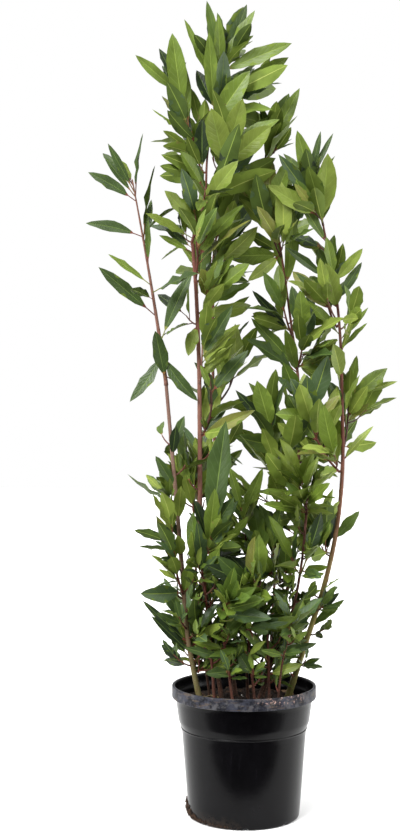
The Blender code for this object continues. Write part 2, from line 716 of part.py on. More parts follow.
def mass_solid(name, twigs, blades, section, collection, mat):
    """One solid: the stem joined with its side twigs and leaves."""
    joins = bpy.data.collections.new(name + "_joins")
    bpy.context.scene.collection.children.link(joins)
    pieces = []
    for k, twig in enumerate(twigs):
        n = len(twig.path)
        radii = [twig.radius(i / (n - 1)) for i in range(n)]
        pieces.append(meshed(tube(f"{name}_twig{k}", twig.path, radii, 3, joins,
                                  section=section), joins))
    for k, leaf in enumerate(blades):
        leaf_solid(f"{name}_leaf{k}", leaf, joins)
    base = link(name, pieces[0].data.copy(), collection)
    bpy.data.objects.remove(pieces[0], do_unlink=True)
    join = base.modifiers.new("join", "BOOLEAN")
    join.operation = "UNION"
    join.operand_type = "COLLECTION"
    join.collection = joins
    join.solver = "MANIFOLD"
    graph = bpy.context.evaluated_depsgraph_get()
    mesh = bpy.data.meshes.new_from_object(base.evaluated_get(graph))
    base.modifiers.clear()
    base.data = mesh
    mesh.name = name
    one_body(mesh)
    mesh.materials.clear()
    mesh.materials.append(mat)
    for ob in list(joins.objects):
        bpy.data.objects.remove(ob, do_unlink=True)
    bpy.data.collections.remove(joins)
    return base


def build():
    for ob in list(bpy.data.objects):
        bpy.data.objects.remove(ob, do_unlink=True)
    plant = bpy.data.collections.new("potted_bay_laurel")
    cutters = bpy.data.collections.new("cutters")
    for collection in (plant, cutters):
        bpy.context.scene.collection.children.link(collection)

    plastic = material("black plastic", (0.012, 0.012, 0.013), 0.38)
    earth = material("compost", (0.030, 0.020, 0.014), 0.95)
    old_bark = material("grey brown bark", (0.130, 0.085, 0.060), 0.75)
    young_bark = material("red brown bark", (0.200, 0.070, 0.055), 0.60)
    foliage = material("leaf green", (0.075, 0.155, 0.045), 0.50)

    pot = turned("pot", pot_inside() + pot_outside(), POT_STEPS, plant, plastic)
    for k in range(DRAINS):
        a = math.tau * (k + 0.5) / DRAINS
        out = FOOT_R - FOOT_ROUND
        notch = cutter(f"drain{k}", (math.cos(a) * out, math.sin(a) * out, -DRAIN_DROP),
                       (0, math.pi / 2, a), DRAIN_R, DRAIN_LONG, cutters)
        cut = pot.modifiers.new(notch.name, "BOOLEAN")
        cut.object = notch
    turned("compost", compost_profile(), POT_STEPS, plant, earth)

    limbs, masses = plan_plant()
    for name, limb in limbs.items():
        tall = limb.long > TALL
        tube(name, limb.path, [limb.radius(s) for s in limb.shares], 8 if tall else 6,
             plant, old_bark if tall else young_bark)

    corner = bpy.data.curves.new("twig_section", "CURVE")
    corner.dimensions = "2D"
    line = corner.splines.new("POLY")
    line.points.add(2)
    for k, point in enumerate(line.points):
        point.co = (math.cos(math.tau * k / 3), math.sin(math.tau * k / 3), 0, 1)
    line.use_cyclic_u = True
    section = link("twig_section", corner, cutters)
    section.hide_render = True
    section.display_type = "WIRE"
    for name, (twigs, blades) in masses.items():
        mass_solid(name, twigs, blades, section, plant, foliage)


build()
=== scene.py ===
import json
import math
import random

import bpy
import numpy as np
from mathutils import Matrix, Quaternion, Vector
from mathutils.bvhtree import BVHTree

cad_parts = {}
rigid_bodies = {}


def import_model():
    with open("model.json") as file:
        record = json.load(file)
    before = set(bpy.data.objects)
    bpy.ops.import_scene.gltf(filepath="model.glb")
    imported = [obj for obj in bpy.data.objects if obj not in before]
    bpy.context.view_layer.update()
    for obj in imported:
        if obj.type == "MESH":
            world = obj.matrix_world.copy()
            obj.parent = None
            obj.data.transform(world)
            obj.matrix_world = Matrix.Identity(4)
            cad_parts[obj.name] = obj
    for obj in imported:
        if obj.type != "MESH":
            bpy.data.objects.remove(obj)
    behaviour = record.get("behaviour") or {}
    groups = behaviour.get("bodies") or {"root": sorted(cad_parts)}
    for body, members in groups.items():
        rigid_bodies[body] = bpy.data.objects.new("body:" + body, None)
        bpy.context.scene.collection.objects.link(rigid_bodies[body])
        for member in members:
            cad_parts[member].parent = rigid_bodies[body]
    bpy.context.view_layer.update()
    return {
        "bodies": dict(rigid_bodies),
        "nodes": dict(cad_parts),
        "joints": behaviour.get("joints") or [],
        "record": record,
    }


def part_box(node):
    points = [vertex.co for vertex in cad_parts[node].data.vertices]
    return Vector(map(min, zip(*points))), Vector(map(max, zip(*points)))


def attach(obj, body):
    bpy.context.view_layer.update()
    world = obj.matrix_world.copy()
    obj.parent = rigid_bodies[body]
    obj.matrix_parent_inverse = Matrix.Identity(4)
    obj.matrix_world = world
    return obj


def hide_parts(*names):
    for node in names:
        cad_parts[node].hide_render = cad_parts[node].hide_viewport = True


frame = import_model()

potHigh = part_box("pot")[1]
soil = float(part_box("compost")[1].z)
print("frame loaded with", len(frame["nodes"]), "nodes")


# sockets and materials

class Wire:  # a shader socket; a sum on it adds a Math node
    def __init__(self, tree, socket):
        self.tree, self.socket = tree, socket

    def sum(self, operation, *values, clamp=False):
        node = self.tree.nodes.new("ShaderNodeMath")
        node.operation, node.use_clamp = operation, clamp
        for slot, value in zip(node.inputs, values):
            plug(self.tree, slot, value)
        return Wire(self.tree, node.outputs[0])

    def over(self, edge, soft):  # 0 below the edge, 1 above it, soft between
        return self.sum("ADD", (self - edge) / soft, 0.5, clamp=True)

    __add__ = __radd__ = lambda a, b: a.sum("ADD", a, b)
    __mul__ = __rmul__ = lambda a, b: a.sum("MULTIPLY", a, b)
    __sub__ = lambda a, b: a.sum("SUBTRACT", a, b)
    __rsub__ = lambda a, b: a.sum("SUBTRACT", b, a)
    __truediv__ = lambda a, b: a.sum("DIVIDE", a, b)
    __abs__ = lambda a: a.sum("ABSOLUTE", a)


def plug(tree, slot, value):
    if isinstance(value, Wire):
        tree.links.new(value.socket, slot)
    else:
        slot.default_value = value


class Finish:  # one material and the nodes that make it
    def __init__(self, name):
        self.material = bpy.data.materials.new(name)
        self.material.use_nodes = True
        self.tree = self.material.node_tree
        self.tree.nodes.clear()

    def node(self, kind, settings={}, sockets={}, out=0):
        node = self.tree.nodes.new(kind)
        for key, value in settings.items():
            if key == "stops":  # places and colours of a ramp
                while len(node.color_ramp.elements) < len(value):
                    node.color_ramp.elements.new(0.5)
                for element, (place, colour) in zip(node.color_ramp.elements, value):
                    element.position, element.color = place, (*colour, 1)
            else:
                setattr(node, key, value)
        for key, value in sockets.items():
            plug(self.tree, node.inputs[key], value)
        return Wire(self.tree, node.outputs[out]) if node.outputs else node

    def place(self):  # the object's own coordinates, in metres
        return self.node("ShaderNodeTexCoord", out=3)

    def split(self, vector, axis):
        return self.node("ShaderNodeSeparateXYZ", sockets={0: vector}, out=axis)

    def noise(self, place, scale, detail=3, rough=0.5):
        return self.node("ShaderNodeTexNoise", sockets={
            "Vector": place, "Scale": scale, "Detail": detail, "Roughness": rough})

    def stretch(self, place, scale):  # the same place with other units along each axis
        return self.node("ShaderNodeMapping", sockets={"Vector": place, "Scale": scale})

    def blend(self, a, b, share):  # colour a where share is 0, b where it is 1
        a, b = [c if isinstance(c, Wire) else (*c, 1) for c in (a, b)]
        return self.node("ShaderNodeMix", {"data_type": "RGBA"}, {0: share, 6: a, 7: b}, out=2)

    def layers(self, tint, *coats):  # colour and share of each coat on the tint, in turn
        for colour, share in coats:
            tint = self.blend(tint, colour, share)
        return tint

    def surface(self, tint, rough, gloss, height=None, depth=0.0006, strength=1.0):
        looks = {"Base Color": tint if isinstance(tint, Wire) else (*tint, 1),
                 "Roughness": rough, "Specular IOR Level": gloss}
        if height:
            looks["Normal"] = self.node("ShaderNodeBump", sockets={
                "Height": height, "Distance": depth, "Strength": strength})
        shader = self.node("ShaderNodeBsdfPrincipled", sockets=looks)
        self.node("ShaderNodeOutputMaterial", sockets={0: shader})
        return self.material


# how the bush grows: the rule that its solids follow too, in metres unless a line says mm

growth = {
    "leastRise": ((0.30, 0.50, 0.70), (0.05, -0.25, -1.0)),  # how far down a leaf may point
    "clear": 0.0003,  # gap between a shoot's foot and its limb
    "straight": (0.005, 0.003),  # a limb and a shoot start straight for this length
    "flare": 1.35,  # a stem's foot against its width higher up
    "flareFade": 0.018,
    "taper": 0.8,
    "limbStep": 0.075,
    "twigStep": 0.034,
    "twigTip": 0.0008,
    "twigFoot": (0.0011, 0.006, 0.75),  # least radius, more by reach, most against the limb's
    "twigBow": (0.4, 0.18),  # where a shoot's stem turns to its way, and how far it bows
    "sideTip": 0.0007,
    "sideRadius": 0.8,
    "sideAt": (0.25, 0.5, 0.6),  # first place of side twigs, how far they spread, chance in it
    "sideLong": (0.35, 0.8, 1.2),  # against the stem's length, and that by chance
    "sideReach": (0.016, 0.040),
    "sideWays": ((0.5, 0.86), (0.8, 0.6)),  # each half's way: with the stem, away from it
    "sideLeaves": ((0.55, 0.45), (0.78, 0.7), (0.97, 0.95)),  # place, and age from 0 to 1
    "plainLeaves": 5,
    "leafAt": (0.12, 0.86, 0.75),  # first place on a stem, how far on the last is, crowding
    "shortStem": 0.03,
    "leafAtShort": (0.3, 0.68),
    "tipSmaller": 0.14,
    "sunk": 0.6,  # how deep a leaf's root lies in its twig, against the twig's radius
    "golden": math.radians(137.5),
    "wide": (0.27, 0.35),  # a leaf's width against its length
    "sizes": (0.74, 1.10),
    "roll": 32,  # degrees
    "angles": 8,  # degrees by chance
    "turnBy": 20,  # degrees by chance
    "bend": (-0.04, 0.26),
    "sway": 0.10,
    "fold": (0.10, 0.42),
    "close": 18,  # degrees between the last leaves and their twig
    "stations": ((0.41, 1.0), (0.75, 0.82)),  # along a plain leaf, and its width there
    "thick": 0.012,
    "leafMargin": 0.0001,
    "bladeMargin": 0.00005,
    "bladeStart": 0.25,
    "turns": (0, 22, -22, 44, -44, 66, -66, 95, -95),  # other ways that a leaf may turn
    "tries": (1.0, 0.8),  # sizes at which a leaf is tried
    "offSoil": 0.002,
    "offRim": 0.003,
    "offWall": 0.009,
}

limbRuns = {  # each limb: radius at foot and tip in 0.1 mm, then the points it runs through in mm
    "left_stem": (43, 26, (-66, -45), (-82, -45, 250), (-101, -40, 465), (-118, -30, 655)),
    "centre_stem": (47, 27, (-34, -10), (-64, -20, 390), (-67, -25, 573), (-70, -20, 740),
        (-78, -20, 868)),
    "leader": (23, 11, (-61, -22, 930), (-56, -20, 1000), (-47, -15, 1062), (-34, -12, 1128)),
    "back_stem": (40, 19, (-12, 45), (-36, 55, 400), (-46, 55, 640), (-46, 60, 850)),
    "middle_stem": (41, 12, (30, 20), (73, 15, 370), (83, 15, 510), (86, 15, 640), (68, 20, 790),
        (52, 20, 900), (34, 20, 995)),
    "middle_right_stem": (32, 19, (18, -35), (55, -30, 270), (80, -30, 345), (93, -30, 460)),
    "right_stem": (49, 15, (70, 20), (104, 0, 291), (134, -10, 397), (149, -10, 515), (149, -5, 640),
        (144, 0, 775), (121, 0, 900)),
    "left_inner_stem": (29, 16, (-52, 10), (-70, 5, 320), (-77, 0, 465)),
    "low_left_stem": (32, 18, (-45, -55), (-53, -55, 285), (-62, -55, 373)),
    "low_front_stem": (31, 18, (-18, -70), (-26, -72, 240), (-36, -75, 300)),
    "low_middle_stem": (27, 17, (15, -62), (8, -65, 240), (2, -68, 300)),
    "low_right_stem": (31, 17, (36, -50), (34, -52, 270), (30, -50, 335)),
    "low_outer_stem": (25, 16, (48, -60), (54, -66, 240), (62, -70, 275)),
    "inner_stem": (32, 17, (6, 5), (1, -10, 330), (3, -20, 405)),
    "back_left_stem": (32, 17, (-45, 60), (-52, 78, 350), (-50, 85, 480)),
    "back_right_stem": (32, 17, (40, 70), (52, 85, 350), (56, 85, 500)),
}

boughs = {"leader": "centre_stem"}  # these grow on from another limb

# each shoot: its piece and limb, share along the limb in percent, reach of its twig in mm,
# leaves, their length in mm, how far the lowest ones stand off in degrees, seed
shootPlans = {
    "left_spire_leaves": ("leftSpire", "left_stem", 100, (-50, -6, 304), 4, 100, 110, 452),
    "leader_tip_leaves": ("leader", "leader", 100, (6, 6, 40), 16, 87, 44, 827),
    "leader_side_leaves": ("leader", "leader", 76, (16, -10, 28), 11, 112, 69, 37),
    "top_right_leaves": ("leader", "leader", 86, (44, 8, 22), 7, 103, 31, 61),
    "top_left_leaves": ("leader", "leader", 53, (-44, 8, 102), 16, 82, 24, 54),
    "upper_middle_leaves": ("leader", "leader", 26, (34, -2, 82), 18, 109, 30, 126),
    "left_crown_leaves": ("centre", "centre_stem", 93, (0, -18, 88), 17, 103, 33, 700),
    "left_high_leaves": ("leader", "leader", 42, (-18, 14, 50), 15, 76, 52, 338),
    "right_branch_leaves": ("centre", "centre_stem", 92, (32, 24, 42), 18, 93, 48, 216),
    "pink_twig_leaves": ("centre", "centre_stem", 85, (28, -10, 42), 10, 96, 43, 212),
    "centre_left_leaves": ("centre", "centre_stem", 70, (4, -22, 66), 8, 100, 45, 277),
    "red_twig_leaves": ("centre", "centre_stem", 59, (10, -4, 100), 16, 94, 49, 696),
    "back_stem_tip_leaves": ("back", "back_stem", 100, (12, 6, 78), 18, 112, 50, 800),
    "back_stem_side_leaves": ("back", "back_stem", 67, (32, 4, 56), 18, 94, 44, 363),
    "middle_tip_leaves": ("middle", "middle_stem", 100, (4, -6, 36), 12, 98, 46, 248),
    "middle_high_leaves": ("middle", "middle_stem", 87, (16, 10, 32), 16, 112, 30, 275),
    "middle_high_left_leaves": ("middle", "middle_stem", 83, (-20, -14, 62), 16, 101, 52, 983),
    "middle_upper_left_leaves": ("middle", "middle_stem", 68, (-18, -24, 58), 10, 77, 58, 916),
    "middle_left_leaves": ("middle", "middle_stem", 34, (-38, -34, 162), 16, 100, 24, 242),
    "middle_front_leaves": ("middle", "middle_stem", 62, (6, -38, 50), 20, 95, 48, 123),
    "right_tip_leaves": ("right", "right_stem", 100, (-22, -10, 66), 22, 83, 38, 693),
    "right_high_left_leaves": ("right", "right_stem", 80, (-18, -24, 28), 16, 96, 70, 638),
    "right_high_outer_leaves": ("right", "right_stem", 79, (-16, 8, 92), 17, 104, 43, 829),
    "right_outer_leaves": ("right", "right_stem", 54, (12, 30, 80), 19, 77, 36, 511),
    "right_inner_leaves": ("right", "right_stem", 49, (-50, -18, 86), 26, 100, 42, 494),
    "right_low_leaves": ("right", "right_stem", 32, (-4, 0, 28), 13, 90, 54, 236),
    "right_foot_leaves": ("right", "right_stem", 12, (-2, -12, 32), 10, 72, 48, 130),
    "middle_right_tip_leaves": ("middle", "middle_right_stem", 100, (-8, -20, 50), 21, 100, 74, 304),
    "middle_right_side_leaves": ("middle", "middle_right_stem", 69, (10, -32, 36), 15, 90, 50, 343),
    "middle_low_leaves": ("middle", "middle_stem", 22, (-40, -46, 50), 25, 90, 50, 250),
    "left_inner_leaves": ("low", "left_inner_stem", 100, (6, -2, 62), 24, 81, 38, 669),
    "left_low_leaves": ("low", "left_stem", 36, (-16, -16, 96), 8, 87, 24, 515),
    "left_foot_leaves": ("low", "left_stem", 11, (-8, 2, 56), 18, 76, 32, 796),
    "low_left_leaves": ("low", "low_left_stem", 100, (12, -20, 60), 29, 81, 70, 93),
    "low_left_skirt_leaves": ("low", "low_left_stem", 44, (-22, -16, 44), 21, 76, 62, 784),
    "low_front_leaves": ("low", "low_front_stem", 100, (10, -38, 40), 19, 76, 75, 122),
    "low_middle_leaves": ("low", "low_middle_stem", 100, (8, -30, -14), 27, 76, 70, 512),
    "low_right_leaves": ("low", "low_right_stem", 100, (-24, -34, 28), 26, 90, 70, 96),
    "low_outer_leaves": ("low", "low_outer_stem", 100, (4, -8, 24), 14, 76, 42, 336),
    "inner_leaves": ("low", "inner_stem", 100, (-6, -18, 56), 17, 74, 58, 881),
    "back_left_leaves": ("back", "back_left_stem", 100, (-10, 10, 48), 25, 84, 38, 215),
    "back_right_leaves": ("back", "back_right_stem", 100, (10, 4, 44), 17, 100, 34, 728),
}
ownWays = {"left_spire_leaves": {"slim": 0.9, "close": 30, "ease": 0.8, "sides": 0}}


def metres(numbers):
    return tuple(n / 1000 for n in numbers)


shootPlans = {name: (piece, limb, at / 100, metres(reach), leaves, size / 1000, spread, seed)
              for name, (piece, limb, at, reach, leaves, size, spread, seed)
              in shootPlans.items()}
reachBoxes = {name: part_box(name) for name in shootPlans}


def spline(points, spans):  # smooth curve through all the points
    knots = [Vector(p) for p in points]
    knots = [knots[0] * 2 - knots[1]] + knots + [knots[-1] * 2 - knots[-2]]
    out = []
    for a, b, c, d in zip(knots, knots[1:], knots[2:], knots[3:]):
        for k in range(spans):
            t = k / spans
            out.append((b * 2 + (c - a) * t + (a * 2 - b * 5 + c * 4 - d) * t * t
                        + (b * 3 - a - c * 3 + d) * t ** 3) / 2)
    return out + [knots[-2]]


def steps(path):
    return [(b - a).length for a, b in zip(path, path[1:])]


def even(path, count):  # the same path in equal steps
    lengths = [0.0]
    for step in steps(path):
        lengths.append(lengths[-1] + step)
    out, k = [], 0
    for i in range(count):
        want = lengths[-1] * i / (count - 1)
        while k < len(path) - 2 and lengths[k + 1] < want:
            k += 1
        t = (want - lengths[k]) / (lengths[k + 1] - lengths[k])
        out.append(path[k].lerp(path[k + 1], min(max(t, 0.0), 1.0)))
    return out


def along(path, share):  # place and direction at a share of an evenly stepped path
    f = min(max(share, 0.0), 1.0) * (len(path) - 1)
    k = min(int(f), len(path) - 2)
    return path[k].lerp(path[k + 1], f - k), (path[k + 1] - path[k]).normalized()


def squareTo(way, direction):
    part = direction - way * direction.dot(way)
    return (part if part.length >= 1e-6 else way.orthogonal()).normalized()


def level(angle):
    return Vector((math.cos(angle), math.sin(angle), 0))


class Limb:  # a stem or bough: an evenly stepped path and a tapering radius
    def __init__(self, foot, tip, *run, on=None):
        if on:
            way = along(on.path, 1)[1]
            start = on.path[-1] + way * growth["clear"]
        else:
            way = Vector((0, 0, 1))
            start = Vector((*metres(run[0]), soil)) + way * growth["clear"]
            run = run[1:]
        self.foot, self.tip = foot / 10000, tip / 10000
        self.flare = 1.0 if on else growth["flare"]
        curve = spline([start + way * growth["straight"][0]] + [metres(p) for p in run], 12)
        self.path = [start] + even(curve, max(5, int(sum(steps(curve)) / growth["limbStep"])))
        self.long = sum(steps(self.path))
        self.shares = [0.0]
        for step in steps(self.path):
            self.shares.append(self.shares[-1] + step / self.long)

    def radius(self, share):
        r = self.foot + (self.tip - self.foot) * share ** growth["taper"]
        return r * (1 + (self.flare - 1) * math.exp(-share * self.long / growth["flareFade"]))

    def at(self, share):
        for k in range(len(self.shares) - 1):
            if share <= self.shares[k + 1] or k == len(self.shares) - 2:
                t = (share - self.shares[k]) / (self.shares[k + 1] - self.shares[k])
                a, b = self.path[k], self.path[k + 1]
                ra, rb = self.radius(self.shares[k]), self.radius(self.shares[k + 1])
                return a.lerp(b, t), (b - a).normalized(), ra + (rb - ra) * t


class Twig:
    def __init__(self, path, foot, tip):
        self.path, self.foot, self.tip = path, foot, tip

    def radius(self, share):
        return self.foot + (self.tip - self.foot) * share


class Leaf:  # its root, its frame, and the numbers that bend and fold the blade
    def __init__(self, root, way, up, long, wide, bend, sway, fold):
        self.root, self.way, self.up = root, way, up
        self.side = way.cross(up)
        self.long, self.wide = long, wide
        self.bend, self.sway, self.fold = bend, sway, fold

    def point(self, s, half, lift):
        middle = (self.root + self.way * (s * self.long)
                  + self.side * (self.sway * s * s * self.long)
                  - self.up * (self.bend * s * s * self.long))
        slope = (self.way - self.up * (2 * self.bend * s)).normalized()
        up = squareTo(slope, self.up)
        return middle + self.side * half + up * (lift + self.fold * abs(half))

    def shell(self, margin=0.0, start=0.0):  # a plain leaf of eight sides
        corners = [self.point(start, 0, 0)]
        thick = self.long * growth["thick"] / 2 + margin
        for s, share in growth["stations"]:
            half = self.wide / 2 * share + margin
            corners += [self.point(s, half, 0), self.point(s, 0, thick),
                        self.point(s, -half, 0), self.point(s, 0, -thick)]
        corners.append(self.point(1 + margin / self.long, 0, 0))
        faces = []
        for j in range(4):
            a, b = 1 + j, 1 + (j + 1) % 4
            faces += [(0, a, b), (a, a + 4, b + 4, b), (a + 4, 9, b + 4)]
        return corners, faces


def tubeShell(path, radii, sides=6, margin=0.0):  # a plain tube, to find what it touches
    corners, faces = [], []
    for k, (point, r) in enumerate(zip(path, radii)):
        way = (path[min(k + 1, len(path) - 1)] - path[max(k - 1, 0)]).normalized()
        u = way.orthogonal().normalized()
        v = way.cross(u)
        for j in range(sides):
            a = math.tau * j / sides
            corners.append(point + (u * math.cos(a) + v * math.sin(a)) * (r + margin))
    for k in range(len(path) - 1):
        for j in range(sides):
            a, b = k * sides + j, k * sides + (j + 1) % sides
            faces.append((a, b, b + sides, a + sides))
    faces += [tuple(range(sides)), tuple(range(len(corners) - sides, len(corners)))]
    return corners, faces


def boxOf(corners):
    return [[edge(c[i] for c in corners) for i in range(3)] for edge in (min, max)]


class Space:  # what is taken already, so that nothing later grows through it
    def __init__(self):
        self.shells = []

    def add(self, owner, shell):
        self.shells.append((owner, *boxOf(shell[0]), BVHTree.FromPolygons(*shell)))

    def touches(self, shell, owners=None, skip=()):
        low, high = boxOf(shell[0])
        tree = None
        for owner, lo, hi, other in self.shells:
            if owner in skip or (owners and owner not in owners):
                continue
            if any(low[i] > hi[i] or high[i] < lo[i] for i in range(3)):
                continue
            tree = tree or BVHTree.FromPolygons(*shell)
            if tree.overlap(other):
                return True
        return False

    def settle(self, leaf, name, inside):  # takes the leaf's room where it is free
        shell = leaf.shell(growth["leafMargin"])
        if not clearOfPot(shell[0]) or not inside(shell[0]):
            return None
        blades = name + " blades"
        if self.touches(shell, skip=(name, blades)):
            return None
        blade = leaf.shell(growth["bladeMargin"], growth["bladeStart"])
        if self.touches(blade, owners=(blades,)):
            return None
        self.add(name, leaf.shell(growth["leafMargin"] / 2))
        self.add(blades, blade)
        return leaf


def clearOfPot(corners):
    for c in corners:
        if c.z < soil + growth["offSoil"]:
            return False
        if (c.z < potHigh.z + growth["offRim"]
                and math.hypot(c.x, c.y) > potHigh.x - growth["offWall"]):
            return False
    return True


def depthIn(name, point):  # how deep within the reach of a shoot's solid, less than 0 outside
    low, high = reachBoxes[name]
    return min(min(point[i] - low[i], high[i] - point[i]) for i in range(3))


def insideReach(corners, name):  # a shoot's leaves stay within the reach of its solid
    return all(depthIn(name, c) >= 0 for c in corners)


def shootStem(limb, share, reach):  # the twig that carries a shoot, from just off its limb
    reach = Vector(reach)
    point, way, r = limb.at(share)
    least, more, most = growth["twigFoot"]
    turn, bow = growth["twigBow"]
    if share >= 1:
        out, foot = way, limb.tip
        start = point + way * growth["clear"]
    else:
        out = squareTo(way, reach - way * reach.length * turn)
        foot = min(least + more * reach.length, most * r)
        start = point + out * (r + growth["clear"])
    first, end = start + out * growth["straight"][1], start + reach
    handle = first.lerp(end, turn) + (out - reach.normalized()) * (bow * reach.length)
    bend = [first * (1 - t) ** 2 + handle * (2 * t * (1 - t)) + end * t * t
            for t in (k / 8 for k in range(9))]
    count = max(3, int(reach.length / growth["twigStep"]) + 2)
    return Twig([start] + even(bend, count), foot, growth["twigTip"])


eye = Vector((-0.067, -2.0, 0.607))
seenStems = {  # limbs that leaves leave in view from the front, and between which heights
    "left_stem": (0.19, 0.72),
    "centre_stem": (0.55, 0.87),
    "middle_stem": (0.66, 0.87),
    "middle_right_stem": (0.32, 0.46),
    "right_stem": (0.24, 0.90),
}
seenPoints = ((0.15, 0.30), (0.35, 0.30), (0.55, 0.30), (0.75, 0.30), (0.95, 0.12))
seenGap = 0.002
seenPaths = []  # heights, x, y, low, high of those limbs


def hidesStem(leaf):  # whether the leaf, by points and half widths, is in front of one of them
    for share, half in seenPoints:
        point = leaf.root + leaf.way * (share * leaf.long)
        for heights, xs, ys, low, high in seenPaths:
            y = float(np.interp(point.z, heights, ys))
            if not low < point.z < high or point.y > y - seenGap:
                continue
            there = eye + (point - eye) * ((y - eye.y) / (point.y - eye.y))
            if abs(there.x - float(np.interp(there.z, heights, xs))) < half * leaf.wide + seenGap:
                return True
    return False


thinned = (  # between which x leaves are left out, which share by height, and the dice
    (-0.020, 1.000, ((0.50, 0.58, 0.80, 0.88), (0.0, 0.30, 0.30, 0.06)), random.Random(5)),
    (-0.056, -0.020, ((0.56, 0.61, 0.79, 0.84), (0.0, 0.50, 0.50, 0.0)), random.Random(6)),
)


def leftOut(root):
    for low, high, share, dice in thinned:
        if low < root.x <= high:
            return dice.random() < np.interp(root.z, *share)
    return False


def growLeaf(space, name, twig, share, azimuth, spread, long, slim, dice):
    root, way = along(twig.path, share)
    if leftOut(root):
        return []
    wide = long * slim * dice.uniform(*growth["wide"])
    roll = math.radians(dice.uniform(-growth["roll"], growth["roll"]))
    shape = (dice.uniform(*growth["bend"]), dice.uniform(-growth["sway"], growth["sway"]),
             dice.uniform(*growth["fold"]))
    angle = math.radians(spread)
    for scale in growth["tries"]:
        for turn in growth["turns"]:
            out = squareTo(way, level(azimuth + math.radians(turn)))
            ahead = (way * math.cos(angle) + out * math.sin(angle)).normalized()
            if ahead.z < np.interp(root.z, *growth["leastRise"]):
                continue
            up = Quaternion(ahead, roll) @ (way * math.sin(angle) - out * math.cos(angle))
            leaf = Leaf(root - ahead * (growth["sunk"] * twig.radius(share)), ahead, up,
                        long * scale, wide * scale, *shape)
            if not hidesStem(leaf) and space.settle(leaf, name, lambda c: insideReach(c, name)):
                return [leaf]
    return []


def growShoot(space, name, stem, leaves, size, spread, seed, slim=1.0,
              close=growth["close"], ease=1.0, sides=None):
    dice = random.Random(seed)
    long = sum(steps(stem.path))
    twigs, blades = [stem], []
    phase = dice.uniform(0, math.tau)
    branches = max(0, (leaves - growth["plainLeaves"]) // 4) if sides is None else sides
    (least, most), (start, span, chance) = growth["sideReach"], growth["sideAt"]
    against, *longs = growth["sideLong"]
    for k in range(branches):
        share = start + span * (k + dice.random() * chance) / branches
        root, way = along(stem.path, share)
        out = squareTo(way, level(phase + growth["golden"] * (k + 0.5)))
        reach = min(max(long * against, least), most) * dice.uniform(*longs)
        path = [root]
        for ahead, away in growth["sideWays"]:
            path.append(path[-1] + (way * ahead + out * away) * (reach * 0.5))
        r = stem.radius(share) * growth["sideRadius"]
        shell = tubeShell(path, (r, r, r), 6, growth["leafMargin"])
        if (clearOfPot(shell[0]) and insideReach(shell[0], name)
                and not space.touches(shell, skip=(name,))):
            twigs.append(Twig(path, r, growth["sideTip"]))
            space.add(name, shell)
    main = leaves - len(growth["sideLeaves"]) * (len(twigs) - 1)
    first, span, crowd = growth["leafAt"] if long > growth["shortStem"] else (
        *growth["leafAtShort"], 1)
    ages = [i / max(main - 1, 1) for i in range(main)]
    plan = [(stem, first + span * t ** crowd, t) for t in ages]
    plan += [(twig, *place) for twig in twigs[1:] for place in growth["sideLeaves"]]
    for i, (twig, share, t) in enumerate(plan):
        angle = dice.uniform(-growth["angles"], growth["angles"])
        angle = spread + (close - spread) * t ** ease + angle
        length = size * (1.0 - growth["tipSmaller"] * t * t) * dice.uniform(*growth["sizes"])
        turn = math.radians(dice.uniform(-growth["turnBy"], growth["turnBy"]))
        turn = phase + growth["golden"] * i + turn
        blades += growLeaf(space, name, twig, share, turn, angle, length, slim, dice)
    return twigs, blades


placing = {
    "look": (0.05, -1.0, 0.45),  # the upper sides of single leaves turn to this side
    "roll": 24,
    "bend": (0.03, 0.10),
    "fold": (0.18, 0.34),
    "shifts": (0, -0.010, 0.010, -0.020, 0.020, -0.032, 0.032),
    "slack": 0.012,  # how far single leaves may stand out of their shoot's reach
}
